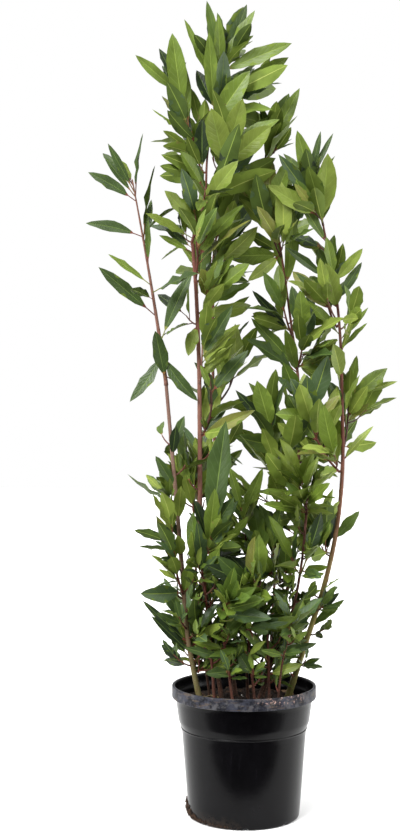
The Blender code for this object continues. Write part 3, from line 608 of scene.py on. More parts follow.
# on a shoot's stem or a limb: share of its length in percent, way to the leaf's tip in mm, width
# in mm, tone from 0 for the palest, sideways curve if any; less than 0 wide is seen from its edge
singleLeaves = {
    "leader_tip_leaves": (
        (39, -24, -6, 103, 17, 3.2), (45, 37, 6, 98, 20, 3.6), (43, 49, -6, 86, 20, 1.8),
        (29, 105, -18, 38, 26, 1.2)),
    "leader": (
        (97, -4, -18, 92, 17, 1.8), (88, -51, -6, 112, 21, 2.3), (94, -19, 6, 94, 18, 4.2),
        (79, -28, 6, 61, 21, 5), (77, -8, -30, 113, 21, 1.2), (68, 58, -18, 82, 33, 1.3),
        (21, 55, -30, 67, 30, 1.3), (31, -38, -18, 58, 27, 2), (3, -72, -18, 36, 20, 1.4, 0.05),
        (5, -6, -30, 44, 33, 1)),
    "top_right_leaves": (
        (75, 78, -6, 49, 24, 1.3),),
    "upper_middle_leaves": (
        (75, -21, -30, 80, 36, 1.3), (91, 23, -30, 75, 30, 1.2), (75, 70, -18, 57, 33, 1.4),
        (99, 78, -6, 40, 23, 1.4)),
    "middle_tip_leaves": (
        (59, 52, -6, 101, 23, 1.5),),
    "top_left_leaves": (
        (73, -16, -18, 112, 30, 2.2), (53, -15, -6, 116, 21, 2.2), (95, -30, 6, 67, 18, 4.6),
        (93, -66, -6, 56, 18, 1.9, 0.05), (57, -28, 6, 35, 21, 4.2), (47, -59, -6, 34, -16, 2)),
    "left_high_leaves": (
        (39, 0, -6, 74, 24, 4.8),),
    "left_crown_leaves": (
        (99, -21, -30, 67, 24, 7), (89, -47, -6, 47, 24, 1.3)),
    "centre_stem": (
        (98, -53, -6, 27, 11, 1.6), (99, -43, 6, 32, 12, 4.5), (83, -14, -18, -53, 20, 1.4),
        (58, 83, -18, 42, 20, 6, 0.05), (7, -47, -18, 23, 12, 3.4)),
    "back_stem_tip_leaves": (
        (89, 75, -30, 54, 13, 4.4),),
    "middle_high_left_leaves": (
        (99, 35, -18, 83, 28, 2.2), (59, 1, -6, 68, 28, 6)),
    "left_spire_leaves": (
        (95, -40, -6, 73, 12, 4.5), (93, -48, 6, 63, 11, 3.5), (91, -72, -6, 43, 20, 4.5, -0.06),
        (75, -85, -5, 20, 20, 4, -0.14), (53, -65, -6, 47, 12, 2), (39, -87, -6, 74, 20, 3.5),
        (93, 11, 6, 98, -16, 4, 0.05), (73, 17, 6, 116, -16, 4, -0.08), (71, 10, 6, 73, 12, 3.5),
        (61, 0, -6, 74, 9, 3), (5, -16, -18, 79, 23, 4), (23, -46, -6, -73, 21, 3.5, 0.3),
        (23, 53, -6, -73, 20, 4.2, -0.25), (27, 48, -6, 106, 23, 3.8, 0.05)),
    "pink_twig_leaves": (
        (67, -15, -30, 44, 26, 6), (81, 53, -30, 41, 30, 1.5)),
    "back_stem": (
        (86, 58, -6, 41, 13, 2), (77, 58, 6, 65, 11, 5, -0.05)),
    "centre_left_leaves": (
        (67, 46, -18, 78, 21, 4.2),),
    "red_twig_leaves": (
        (71, 56, -18, 64, 24, 4), (5, 38, -6, 47, 21, 4.3)),
    "low_left_leaves": (
        (99, 21, -30, 169, 38, 4.3), (77, 10, -30, 89, 24, 1.9), (67, 38, -18, 57, 19, 7)),
    "left_stem": (
        (79, 19, -6, 56, 18, 4.5), (78, 6, -6, 46, 15, 4.8), (58, 5, -18, 54, 18, 1),
        (47, -5, -30, 35, 18, 0), (35, 9, -18, 54, 18, 2), (20, -70, -6, 66, 13, 5, 0.05),
        (17, -60, -18, 60, 12, 5.2), (26, -38, -6, 61, 18, 4.3), (52, -37, -6, 63, 16, 4.6),
        (63, -74, -5, 45, -16, 3, 0.15), (68, -30, -6, 49, 16, 4.5)),
    "middle_left_leaves": (
        (87, -23, -18, 76, 30, 1.8), (87, -55, -6, 62, 15, 4.6)),
    "right_inner_leaves": (
        (97, -53, -30, 4, 23, 2.5), (99, -30, -30, 55, 27, 7), (99, -5, -30, 60, 27, 7),
        (99, 29, -6, 90, 30, 7), (85, 41, -6, 48, 18, 6)),
    "middle_stem": (
        (47, -102, -18, 19, 28, 2.8, 0.1), (62, -71, -6, 76, 20, 2.8), (61, -81, -18, 52, 28, 3.8),
        (56, -25, -18, 57, 25, 2.8), (61, -23, -18, 65, 20, 1.7, 0.05), (77, 11, -18, 116, 23, 1.6),
        (90, -4, -6, 51, 22, 4.4), (92, 29, 6, 47, 22, 2), (85, 32, 6, 58, 19, 4.5),
        (79, -23, -6, 79, 12, 2.2), (31, -83, -6, 54, 18, 5), (25, -40, -18, 66, 28, 2.8)),
    "middle_upper_left_leaves": (
        (41, -59, -6, 62, 15, 4.9, 0.05), (73, -34, -18, 61, 20, 3)),
    "right_tip_leaves": (
        (29, 6, -30, 97, 34, 1.4), (79, -26, -18, 90, 24, 1.8), (47, -64, -18, 80, 21, 7),
        (99, 37, 6, 74, 9, 3.8), (99, 17, 6, 75, 11, 4)),
    "right_stem": (
        (96, -45, -6, 69, 18, 2.6), (82, -22, -30, 70, 31, 1.2), (89, -12, -6, 62, 18, 1.8),
        (77, -55, -18, 52, 21, 1.6), (68, -16, -30, 53, 27, 0.8), (73, 24, -6, 70, 9, 1, 0.08),
        (76, 43, -5, 50, 9, 1.5), (74, 42, 5, 42, 9, 2.3), (88, 43, -6, 51, 17, 1.4),
        (84, 40, 6, 61, 15, 3.5), (63, -20, -6, 33, 15, 3.5), (51, 47, -6, 55, 12, 0.7, 0.05),
        (35, 39, -5, 44, 17, 3.2, -0.06), (24, 28, -3, 21, -16, 2, -0.2), (16, 53, -6, 45, 15, 3)),
    "right_high_outer_leaves": (
        (85, -65, -18, 46, 14, 3.6), (93, -14, -6, 36, 18, 3.4)),
    "right_high_left_leaves": (
        (95, -50, -6, 44, 15, 3.8),),
    "middle_front_leaves": (
        (97, -6, -18, 66, 27, 1.7), (99, -17, -6, 73, 21, 3.6)),
    "right_outer_leaves": (
        (99, 12, -6, 62, 15, 2.3), (91, 58, -18, 51, 25, 2), (69, 27, -30, 48, 22, 0.8),
        (97, 75, -6, 24, 12, 1), (63, 34, -6, 29, 12, 6)),
    "middle_right_tip_leaves": (
        (15, -68, -30, 16, 20, 2.2, 0.05), (71, -82, -6, 4, 13, 1.6)),
    "inner_leaves": (
        (99, 29, -18, 70, 18, 2.2), (99, -21, -6, 74, 12, 2)),
    "low_left_stem": (
        (98, -10, -30, 87, 21, 7), (93, 23, -30, 56, 24, 2.2)),
    "low_front_leaves": (
        (63, 21, -30, 50, 23, 2),),
    "low_front_stem": (
        (89, 56, -30, 67, 29, 3), (72, -49, -18, 14, 12, 1.6), (61, -64, -18, 20, 13, 4.2),
        (46, -35, -16, 0, 16, 3.8)),
    "low_right_stem": (
        (43, -43, -30, 59, 16, 3, 0.05), (47, 72, -18, 24, 15, 4), (31, 50, -18, 19, 15, 1)),
    "low_middle_stem": (
        (42, -21, -18, 36, 21, 3.6), (73, -61, -30, -8, 13, 3)),
}


def insideAny(point):
    return any(depthIn(name, point) >= -placing["slack"] for name in reachBoxes)


def placeLeaf(space, carrier, root, r, chord, wide, sway, dice):
    roll = math.radians(dice.uniform(-placing["roll"], placing["roll"]))
    bend, fold = dice.uniform(*placing["bend"]), dice.uniform(*placing["fold"])
    for shift in placing["shifts"]:
        reach = chord + Vector((0, shift, 0))
        ahead = reach.normalized()
        look = ahead.cross(Vector((0, 1, 0))) if wide < 0 else Vector(placing["look"])
        up = Quaternion(ahead, roll) @ squareTo(ahead, look)
        way = (ahead + up * bend - ahead.cross(up) * sway).normalized()
        leaf = Leaf(root - way * r * 0.5, way, squareTo(way, up), reach.length, abs(wide),
                    bend, sway, fold)
        if space.settle(leaf, carrier, lambda corners: insideAny(corners[-1])):
            return leaf


def nearestShoot(point):
    def off(name):
        low, high = reachBoxes[name]
        return sum(max(0, low[i] - point[i], point[i] - high[i]) ** 2 for i in range(3))
    return min(reachBoxes, key=off)


def growSingles(space, limbs, stems):
    dice = random.Random(31)
    singles = {name: [] for name in reachBoxes}
    for carrier, rows in singleLeaves.items():
        for percent, x, y, z, wide, tone, *sway in rows:
            share = percent / 100
            if carrier in limbs:
                root, way, r = limbs[carrier].at(share)
            else:
                root, way = along(stems[carrier].path, share)
                r = stems[carrier].radius(share)
            leaf = placeLeaf(space, carrier, root, r, Vector(metres((x, y, z))), wide / 1000,
                             sum(sway), dice)
            if leaf:
                home = carrier if carrier in singles else nearestShoot(root + leaf.way * leaf.long)
                singles[home].append((leaf, tone))
    return singles


def growBush():  # limbs first, then every shoot's stem, then twigs and leaves in turn
    space, limbs, stems = Space(), {}, {}
    for name, row in limbRuns.items():
        limb = limbs[name] = Limb(*row, on=limbs.get(boughs.get(name)))
        space.add(name, tubeShell(limb.path, [limb.radius(s) for s in limb.shares], 8))
        if name in seenStems:
            xs, ys, zs = np.array(limb.path).T
            seenPaths.append((zs, xs, ys, *seenStems[name]))
    for name, (piece, limb, at, reach, *rule) in shootPlans.items():
        stem = stems[name] = shootStem(limbs[limb], at, reach)
        last = len(stem.path) - 1
        space.add(name, tubeShell(stem.path, [stem.radius(k / last) for k in range(last + 1)],
                                  6, growth["leafMargin"]))
    singles = growSingles(space, limbs, stems)
    shoots = {name: growShoot(space, name, stems[name], *plan[4:], **ownWays.get(name, {}))
              for name, plan in shootPlans.items()}
    return space, limbs, shoots, singles


young = {
    "seed": 1000,  # added to the shoot's own
    "share": (0.34, 0.62),  # size against the shoot's full leaves
    "everyTwig": 2,  # young leaves round each twig's tip
    "at": 0.985,
    "along": 0.035,  # one more filler leaf for each of these metres of twig
    "fills": (0.15, 0.9),
    "low": 0.52,  # below this height the fillers are dense
    "thin": 0.2,  # share of them above it
    "spread": (12, 30),
    "fillSpread": (38, 78),
    "slim": 0.92,
}


def growYoung(space, name, twigs, size, seed):  # finer leaves within the same reach
    dice = random.Random(seed + young["seed"])
    out = []
    for twig in twigs:
        dense = 1.0 if twig.path[-1].z < young["low"] else young["thin"]
        jobs = [(young["at"], dice.uniform(*young["spread"])) for k in range(young["everyTwig"])]
        jobs += [(dice.uniform(*young["fills"]), dice.uniform(*young["fillSpread"]))
                 for k in range(int(sum(steps(twig.path)) / young["along"] * dense + 0.5))]
        for share, spread in jobs:
            out += growLeaf(space, name, twig, share, dice.uniform(0, math.tau), spread,
                            size * dice.uniform(*young["share"]), young["slim"], dice)
    return out


sprigs = {  # short side twigs that grow straight from the limbs
    "seed": 77,
    "between": (0.01, 0.98),  # shares of a limb
    "heights": (0.186, 0.30, 0.40, 0.50, 0.95),
    "every": (0.0050, 0.0080, 0.0180, 0.0450, 0.0700),  # metres of limb for each one
    "long": (0.012, 0.034),
    "turnBy": 0.4,
    "rise": 0.62,  # slope of the twig against the limb's own way
    "tipOut": 0.8,
    "foot": (0.6, 1.3),  # first points of the twig, against the limb's radius
    "room": 0.001,  # radius that has to be free
    "leaves": (3, 6),
    "leafAt": (0.45, 0.53),  # first place on the twig, and how far on the last is
    "angles": 10,
    "sizes": ((0.20, 0.34, 0.46, 0.70), (0.034, 0.044, 0.056, 0.064)),  # by height
    "vary": (0.62, 1.15),
    "spread": (26, 74),
    "radius": (0.0011, 0.0007),
    "slim": 0.95,
    "depth": 0.006,  # how far within a shoot's reach the tip stands
}


def homeOf(point):  # the shoot within whose reach a sprig's tip stands deepest
    home = max(reachBoxes, key=lambda name: depthIn(name, point))
    return home if depthIn(home, point) > sprigs["depth"] else None


def growSprigs(space, limbs):
    dice = random.Random(sprigs["seed"])
    twigs, leaves = {name: [] for name in reachBoxes}, {name: [] for name in reachBoxes}
    tight, wide = sprigs["spread"]
    (start, end), (sunk, clear), (first, span) = (sprigs[key] for key in
                                                  ("between", "foot", "leafAt"))
    for limbName, limb in limbs.items():
        share, k = start, 0
        while share < end:
            root, way, r = limb.at(share)
            share += np.interp(root.z, sprigs["heights"], sprigs["every"]) / limb.long
            k += 1
            if root.z < sprigs["heights"][0] or root.z > sprigs["heights"][-1]:
                continue
            a = growth["golden"] * k + dice.uniform(-sprigs["turnBy"], sprigs["turnBy"])
            out = squareTo(way, level(a))
            reach = dice.uniform(*sprigs["long"])
            mid = root + out * r + (out + way * sprigs["rise"]).normalized() * (reach * 0.5)
            tip = mid + (out * sprigs["tipOut"] + way).normalized() * (reach * 0.5)
            home = homeOf(tip)
            if not home:
                continue
            path = [root + out * (r * sunk), root + out * r * clear, mid, tip]
            shell = tubeShell(path[1:], [sprigs["room"]] * 3, 6, growth["leafMargin"])
            if (not clearOfPot(shell[0]) or not insideReach(shell[0], home)
                    or space.touches(shell, skip=(home, limbName))):
                continue
            twig = Twig(path, *sprigs["radius"])
            space.add(home, shell)
            size, grown = np.interp(root.z, *sprigs["sizes"]), []
            count = dice.randint(*sprigs["leaves"])
            for i in range(count):
                at = first + span * i / (count - 1)
                spread = dice.uniform(-sprigs["angles"], sprigs["angles"])
                spread = wide + (tight - wide) * at + spread
                grown += growLeaf(space, home, twig, at, a + growth["golden"] * i, spread,
                                  size * dice.uniform(*sprigs["vary"]), sprigs["slim"], dice)
            if grown:
                twigs[home].append(twig)
                leaves[home] += grown
    return twigs, leaves


space, limbs, shoots, singles = growBush()
youngLeaves = {name: growYoung(space, name, shoots[name][0], size, seed)
               for name, (*place, size, spread, seed) in shootPlans.items()}
sprigTwigs, sprigLeaves = growSprigs(space, limbs)
twigLists, leafLists = zip(*shoots.values())
for what, lists in {"twigs": twigLists, "leaves": leafLists, "single leaves": singles.values(),
                    "young leaves": youngLeaves.values(), "sprigs": sprigTwigs.values(),
                    "sprig leaves": sprigLeaves.values()}.items():
    print("grown:", sum(len(one) for one in lists), what)


# meshes from arrays

def faceOut(points, faces):  # volume = sum of a . (b x c) / 6 over the fan of every face
    volume = 0.0
    for f in faces:
        for k in range(1, f.shape[1] - 1):
            a, b, c = points[f[:, 0]], points[f[:, k]], points[f[:, k + 1]]
            volume += np.einsum("ij,ij->", a, np.cross(b, c))
    return faces if volume >= 0 else [f[:, ::-1] for f in faces]


def meshPiece(name, points, faces, finishes, slot=None, nodes=(), dealt=None, sharp=None, uv=None):
    # points (n, 3); faces: a list of (m, k) index arrays; dealt: which finish each face has, one
    # array for each of them; uv: a place on the surface's own map for each point
    mesh = bpy.data.meshes.new(name)
    faces = faceOut(points, faces)
    points = np.asarray(points, dtype=np.float32)
    mesh.vertices.add(len(points))
    mesh.vertices.foreach_set("co", points.ravel())
    corners = np.concatenate([f.ravel() for f in faces]).astype(np.int32)
    sizes = np.concatenate([np.full(len(f), f.shape[1]) for f in faces])
    mesh.loops.add(len(corners))
    mesh.loops.foreach_set("vertex_index", corners)
    mesh.polygons.add(len(sizes))
    mesh.polygons.foreach_set("loop_start", (np.cumsum(sizes) - sizes).astype(np.int32))
    if dealt is not None:
        mesh.polygons.foreach_set("material_index", np.concatenate(dealt).astype(np.int32))
    if uv is not None:
        mesh.uv_layers.new(name="surface").data.foreach_set(
            "uv", np.asarray(uv, dtype=np.float32)[corners].ravel())
    mesh.update(calc_edges=True)
    mesh.validate()
    for finish in finishes:
        mesh.materials.append(finish)
    mesh.polygons.foreach_set("use_smooth", np.ones(len(mesh.polygons), dtype=bool))
    if sharp:
        mesh.set_sharp_from_angle(angle=math.radians(sharp))
    piece = bpy.data.objects.new(name, mesh)
    bpy.context.scene.collection.objects.link(piece)
    if slot:
        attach(piece, "root")
    if nodes:
        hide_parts(*nodes)
    return piece


def ringFaces(rings, sides):  # quads between rings of points, all round
    k, j = np.meshgrid(np.arange(rings - 1), np.arange(sides), indexing="ij")
    a, b = (k * sides + j).ravel(), (k * sides + (j + 1) % sides).ravel()
    return np.stack([a, b, b + sides, a + sides], axis=1)


def fan(first, pole, sides, back=False):  # triangles from a ring of points to one point
    j = np.arange(sides)
    here, there = first + j, first + (j + 1) % sides
    return np.stack([np.full(sides, pole), there, here] if back
                    else [np.full(sides, pole), here, there], axis=1)


def unit(vectors):
    return vectors / np.maximum(np.linalg.norm(vectors, axis=-1, keepdims=True), 1e-12)


# leaves

leafLook = {
    "blade": (0.055, 0.17, 0.31, 0.46, 0.61, 0.76, 0.90),  # stations along the blade
    "across": (-1, -0.5, -0.045, 0.045, 0.5, 1, 0.045, -0.045),  # columns above, then below
    "body": (0, 0.5, 0.30, 0.30, 0.5, 0, -0.95, -0.95),  # thickness over or under each column
    "kind": (0, 0, 1, 0, 0, 2, 3, 2),  # upper, rib, under or rib under, by column
    "stalkRing": ((-1, 0), (-0.75, 0.6), (-0.3, 0.95), (0.3, 0.95),
                  (0.75, 0.6), (1, 0), (0.3, -0.95), (-0.3, -0.95)),
    "stalk": 0.10,  # share of the length
    "spireStalk": 0.19,
    "stalkRadius": 0.00085,
    "stalkEnds": (0.12, 0.97),
    "stalkThin": (0.55, 1.0),  # least and most share of that radius
    "usual": 0.085,  # leaves of this length have the whole thickness and wave
    "small": (0.35, 1.1),  # least and most share of them
    "thick": 0.0007,
    "ribs": (0.0003, 0.00035),  # least half width of the rib above and below
    "arch": 0.05,  # how far each half bulges
    "wave": (0.0012, 0.0040),  # rise and fall of the margin
    "waves": (1.9, 3.4),
    "ragged": ((0.45, 1.00), (0.10, 0.025)),  # how far the margin runs in and out, by height
    "raggedTurns": 1.6,
    "full": 0.95,  # where the blade is widest: less than 1 is nearer the tip
    "blunt": 0.78,
    "crease": 55,  # degrees
}


def leafArrays(leaves, stalks, seed):
    # half width = wide/2 * sin(pi t^full)^blunt for t from 0 at the blade's foot to 1 at its tip;
    # middle line = root + way s L + side sway s^2 L - up bend s^2 L;
    # rise = fold |half| + arch half (1 - (2|u| - 1)^2) + wave u^2 sin(2 pi waves t + phase)
    n, sides = len(leaves), len(leafLook["across"])
    rng = np.random.default_rng(seed)
    root, way, up, side, long, wide, bend, sway, fold = (
        np.array([getattr(leaf, key) for leaf in leaves], float)[:, None] for key in
        ("root", "way", "up", "side", "long", "wide", "bend", "sway", "fold"))
    stalk = np.asarray(stalks, dtype=float)[:, None]
    t = np.array(leafLook["blade"])[None, :]
    small = np.clip(long / leafLook["usual"], *leafLook["small"])
    amp = rng.uniform(*leafLook["wave"], (n, 1)) * small
    turns = rng.uniform(*leafLook["waves"], (n, 1))
    phase = rng.uniform(0, math.tau, (n, 2, 1))

    def frame(s):  # middle line and the upward direction at shares s (n, k)
        middle = (root + way * (s * long)[..., None] + side * (sway * s * s * long)[..., None]
                  - up * (bend * s * s * long)[..., None])
        slope = unit(way - up * (2 * bend * s)[..., None])
        return middle, unit(up - slope * (slope * up).sum(-1, keepdims=True))

    def place(s, half, lift):  # s (n, k); half and lift (n, k, columns)
        middle, rise = frame(s)
        lift = lift + fold[..., None] * np.abs(half)
        return (middle[:, :, None, :] + side[:, :, None, :] * half[..., None]
                + rise[:, :, None, :] * lift[..., None])

    circle = np.array(leafLook["stalkRing"])
    r = leafLook["stalkRadius"] * np.clip(small, *leafLook["stalkThin"])[..., None]
    ones = np.ones((n, 2, 1))
    stalkRings = place(np.concatenate([stalk * end for end in leafLook["stalkEnds"]], axis=1),
                       ones * r * circle[:, 0], ones * r * circle[:, 1])

    half = wide / 2 * np.sin(math.pi * t ** leafLook["full"]) ** leafLook["blunt"]
    u = np.array(leafLook["across"])
    wave = [np.sin(math.tau * turns * t + phase[:, k])[:, :, None] for k in (0, 1)]
    edge = np.where(u[None, None, :] < 0, *wave)
    ease = np.sin(math.pi * np.clip(t * 1.15, 0, 1))[..., None] ** 0.5
    lift = amp[..., None] * edge * ease * u ** 2
    lift = lift + leafLook["arch"] * half[..., None] * (1 - (2 * np.abs(u) - 1) ** 2)
    lift = lift + (leafLook["thick"] * small)[..., None] * np.array(leafLook["body"])
    ragged = np.interp(root[:, :, 2], *leafLook["ragged"])
    ragged = 1 + ragged * np.sin(math.tau * leafLook["raggedTurns"] * turns * t
                                 + 2 * phase[:, 0])
    halves = half[..., None] * np.where(np.abs(u) == 1, ragged[..., None], 1) * u
    for columns, least in zip((slice(2, 4), slice(6, 8)), leafLook["ribs"]):
        halves[..., columns] = np.sign(u[columns]) * np.maximum(least, np.abs(halves[..., columns]))
    rings = np.concatenate([stalkRings, place(stalk + (1 - stalk) * t, halves, lift)], axis=1)
    points = np.concatenate([frame(np.zeros((n, 1)))[0], rings.reshape(n, -1, 3),
                             frame(np.ones((n, 1)))[0]], axis=1)
    before = np.zeros(2 * sides + 1)
    across = np.concatenate([before, np.tile(u, len(leafLook["blade"])), [0]])
    along = np.concatenate([before, np.repeat(leafLook["blade"], sides), [1]])
    uv = np.tile(np.stack([along, across / 2 + 0.5], axis=1), (n, 1))

    # faces of one leaf, then of all
    count = rings.shape[1]
    last = 1 + (count - 1) * sides
    quads = ringFaces(count, sides)[:, ::-1] + 1
    tris = np.concatenate([fan(1, 0, sides), fan(last, last + sides, sides, back=True)])
    kind = np.array(leafLook["kind"])
    quadKind = np.tile(kind, count - 1)
    quadKind[:2 * sides] = 4  # stalk
    shift = (np.arange(n) * points.shape[1])[:, None, None]
    faces = [(quads[None] + shift).reshape(-1, 4), (tris[None] + shift).reshape(-1, 3)]
    return points.reshape(-1, 3), faces, [quadKind, np.concatenate([np.full(sides, 4), kind])], uv


leafTints = {  # linear base colours
    "upper": [(0.222, 0.284, 0.050), (0.176, 0.232, 0.036), (0.122, 0.181, 0.023),
              (0.079, 0.130, 0.018), (0.044, 0.077, 0.017), (0.018, 0.033, 0.010),
              (0.186, 0.196, 0.040), (0.062, 0.105, 0.038)],
    "under": [(0.215, 0.285, 0.048), (0.165, 0.230, 0.036), (0.115, 0.165, 0.026),
              (0.070, 0.108, 0.022)],
    "rib": [(0.360, 0.420, 0.090), (0.230, 0.310, 0.055), (0.120, 0.180, 0.040)],
    "stalk": [(0.220, 0.120, 0.040), (0.190, 0.200, 0.045), (0.160, 0.050, 0.030)],
}
leafSheen = {  # roughness and specular level
    "upper": (0.38, 0.30), "under": (0.55, 0.10), "rib": (0.5, 0.2), "stalk": (0.5, 0.2),
}
skinLook = {
    "grain": (140, 2),  # scale and detail
    "cloud": (38, 3),
    "clouds": (0.5, 0.4),
    "tints": (0.74, 1.18),  # darkest and palest part against the leaf's colour
    "veins": 9,  # side veins from foot to tip
    "slant": 0.2,
    "line": (0.88, 0.14),
    "margin": (0.85, 0.2),  # the veins fade there
    "edge": (0.96, 0.05),  # the pale outer edge starts there
    "pale": ((1.35, 0.30), (1.4, 0.4)),  # tint and share of veins, then of the edge
}
plainTints = 6  # the last two upper tints are the olive and the blue one
tones = {
    # tone by height: partly leaf age, partly painted shade that darkens the low crown
    "ageAndShadeByHeight": ((0.20, 0.34, 0.46, 0.62, 0.85, 1.20), (4.2, 3.4, 2.2, 1.7, 1.6, 2.8)),
    "palest": ((0.85, 1.02), (0.0, 1.6)),  # no leaf is paler than this, by height
    "shadeByDepth": ((-0.12, 0.0, 0.12), (-0.5, 0.3, 1.4)),  # painted shade: leaves further back are darker
    "young": 0.7,
    "spread": 1.40,  # how much leaves of one spray differ
    "olive": 0.10,  # share of such leaves in pale sprays
    "blue": 0.26,  # share of such leaves in dark sprays
    "oddRib": 2.4,  # tone of the ribs of those
    "stalks": (0.40, 0.20, 0.40),
    "own": {  # sprays that are darker or paler than their height tells
        "left_spire_leaves": 1.6, "leader_tip_leaves": 0.5, "middle_high_leaves": 0.8,
        "middle_right_tip_leaves": -0.6, "middle_right_side_leaves": -0.6,
        "right_low_leaves": -0.5, "right_inner_leaves": -0.4, "middle_low_leaves": -0.4,
        "low_left_leaves": 0.3,
    },
}


def leafFinish(name, colour, rough, gloss, veined=False):
    finish = Finish(name)
    place = finish.place()
    grain, cloud = (finish.noise(place, *skinLook[key]) for key in ("grain", "cloud"))
    dark, pale = ([c * share for c in colour] for share in skinLook["tints"])
    tint, relief = finish.blend(dark, pale, cloud.over(*skinLook["clouds"])), grain * 0.3
    if veined:  # side veins lie where veins (t - slant |u|) comes near a whole number
        own = finish.node("ShaderNodeTexCoord", out=2)
        t, away = finish.split(own, 0), abs(finish.split(own, 1) * 2 - 1)
        turn = (t - away * skinLook["slant"]) * skinLook["veins"]
        ridge = abs((turn.sum("FRACT", turn) - 0.5) * 2)
        line = ridge.over(*skinLook["line"]) * (1 - away.over(*skinLook["margin"]))
        masks = line, away.over(*skinLook["edge"])
        tint = finish.layers(tint, *(([min(1, c * pale + 0.02) for c in colour], mask * share)
                                     for mask, (pale, share) in zip(masks, skinLook["pale"])))
        relief = relief + line * 0.5 - ridge * 0.4
    return finish.surface(tint, grain * 0.16 + (rough - 0.08), gloss, relief, strength=0.6)


leafFinishes, firstOf = [], {}
for kind, tints in leafTints.items():
    firstOf[kind] = len(leafFinishes)
    leafFinishes += [leafFinish(f"leaf{kind.title()}{i}", tint, *leafSheen[kind], kind == "upper")
                     for i, tint in enumerate(tints)]


def dealTints(name, leaves, lighter, given, seed):
    # tone = by height (partly leaf age, partly painted shade low in the crown) + painted shade by
    # depth + the spray's own
    # + chance: 0 is the palest leaf, 5 the darkest; gives one row for each leaf: slots of upper,
    #   rib, under, rib under and stalk
    rng = np.random.default_rng(seed)
    n, high = len(leaves), [leaf.root.z for leaf in leaves]
    tone = (np.interp(high, *tones["ageAndShadeByHeight"])
            + np.interp([leaf.root.y for leaf in leaves], *tones["shadeByDepth"])
            + tones["own"].get(name, 0.0) + rng.normal(0, tones["spread"], n)
            - tones["young"] * np.asarray(lighter))
    given = np.asarray(given, dtype=float)
    tone = np.where(given < 0, tone, given)
    tone = np.maximum(tone, np.interp(high, *tones["palest"]))
    upper = np.clip(np.round(tone), 0, plainTints - 1).astype(int)
    chance = np.where(given < 0, rng.uniform(0, 1, n), 1)
    upper = np.where((tone < 2) & (chance < tones["olive"]), plainTints, upper)
    upper = np.where((tone > 2.5) & (chance < tones["blue"]), plainTints + 1, upper)
    upper = np.where(given >= plainTints, given, upper).astype(int)
    tone = np.where(given >= plainTints, tones["oddRib"], tone)
    under = np.clip(np.round(tone * 0.7), 0, 3).astype(int)
    rib = np.clip(np.round(tone / 2), 0, 2).astype(int)
    return np.stack([upper, firstOf["rib"] + rib, firstOf["under"] + under,
                     firstOf["rib"] + rib // 2,
                     firstOf["stalk"] + rng.choice(3, n, p=tones["stalks"])], axis=1)


def leafPiece(name, members):
    leaves, stalks, slots = [], [], []
    for shoot in members:
        full, own = shoots[shoot][1], singles[shoot]
        groups = ((full, 0), (youngLeaves[shoot], 1), (sprigLeaves[shoot], -0.6),
                  ([leaf for leaf, tone in own], 0))
        both = [leaf for group, lighter in groups for leaf in group]
        lighter = [lighter for group, lighter in groups for leaf in group]
        given = [-1] * (len(both) - len(own)) + [tone for leaf, tone in own]
        leaves += both
        stalks += [leafLook["spireStalk" if shoot == "left_spire_leaves" else "stalk"]] * len(both)
        slots.append(dealTints(shoot, both, lighter, given, shootPlans[shoot][-1]))
    slots = np.concatenate(slots)
    points, faces, kinds, uv = leafArrays(leaves, stalks, len(members) + 7)
    meshPiece(name, points, faces, leafFinishes, "leaf_green", members,
              [slots[:, kind].ravel() for kind in kinds], leafLook["crease"], uv)
    print(name, len(leaves), "leaves,", 2 * len(faces[0]) + len(faces[1]), "triangles")


for region in ("leftSpire", "leader", "middle", "right", "back", "low", "centre"):
    leafPiece(region + "Leaves", [name for name, plan in shootPlans.items() if plan[0] == region])


# twigs, limbs and buds: tubes along smooth paths

def smoothPath(points, step):  # curve through the points, in steps of about this length
    curve = spline(points, 10)
    return np.array(even(curve, max(4, int(sum(steps(curve)) / step) + 1)))


def tubeArrays(path, radii, sides, relief=None):
    # point(k, a) = path(k) + radius(k, a) (cos a U(k) + sin a V(k)); U is carried along the
    # path without twist, and both ends close to a point
    k, radii = len(path), np.asarray(radii)
    way = unit(np.gradient(path, axis=0))
    u = np.zeros((k, 3))
    u[0] = unit(np.cross(way[0], (0.0, 1.0, 0.0) if abs(way[0, 1]) < 0.9 else (1.0, 0.0, 0.0)))
    for i in range(1, k):
        u[i] = unit(u[i - 1] - way[i] * np.dot(u[i - 1], way[i]))
    v = np.cross(way, u)
    a = np.arange(sides) * math.tau / sides
    r = radii[:, None] * np.ones((1, sides))
    if relief is not None:
        r = r * (1 + relief(np.arange(k)[:, None] / (k - 1), a[None, :]))
    rings = (path[:, None, :] + r[..., None] * (np.cos(a)[None, :, None] * u[:, None, :]
                                                + np.sin(a)[None, :, None] * v[:, None, :]))
    points = np.concatenate([path[:1], rings.reshape(-1, 3),
                             path[-1:] + way[-1:] * radii[-1] * 0.6])
    last = 1 + (k - 1) * sides
    return points, ringFaces(k, sides) + 1, np.concatenate([
        fan(1, 0, sides, back=True), fan(last, last + sides, sides)])


def tubesPiece(name, parts, finishes, slot, nodes=()):  # parts: points, quads, tris, finish
    points, faces, dealt, at = [], ([], []), ([], []), 0
    for p, *own, finish in parts:
        for k, f in enumerate(faceOut(p, own)):
            faces[k].append(f + at)
            dealt[k].append(np.full(len(f), finish))
        points.append(p)
        at += len(p)
    meshPiece(name, np.concatenate(points), [np.concatenate(f) for f in faces], finishes, slot,
              nodes, [np.concatenate(d) for d in dealt])
    print(name + ":", len(parts), "tubes")


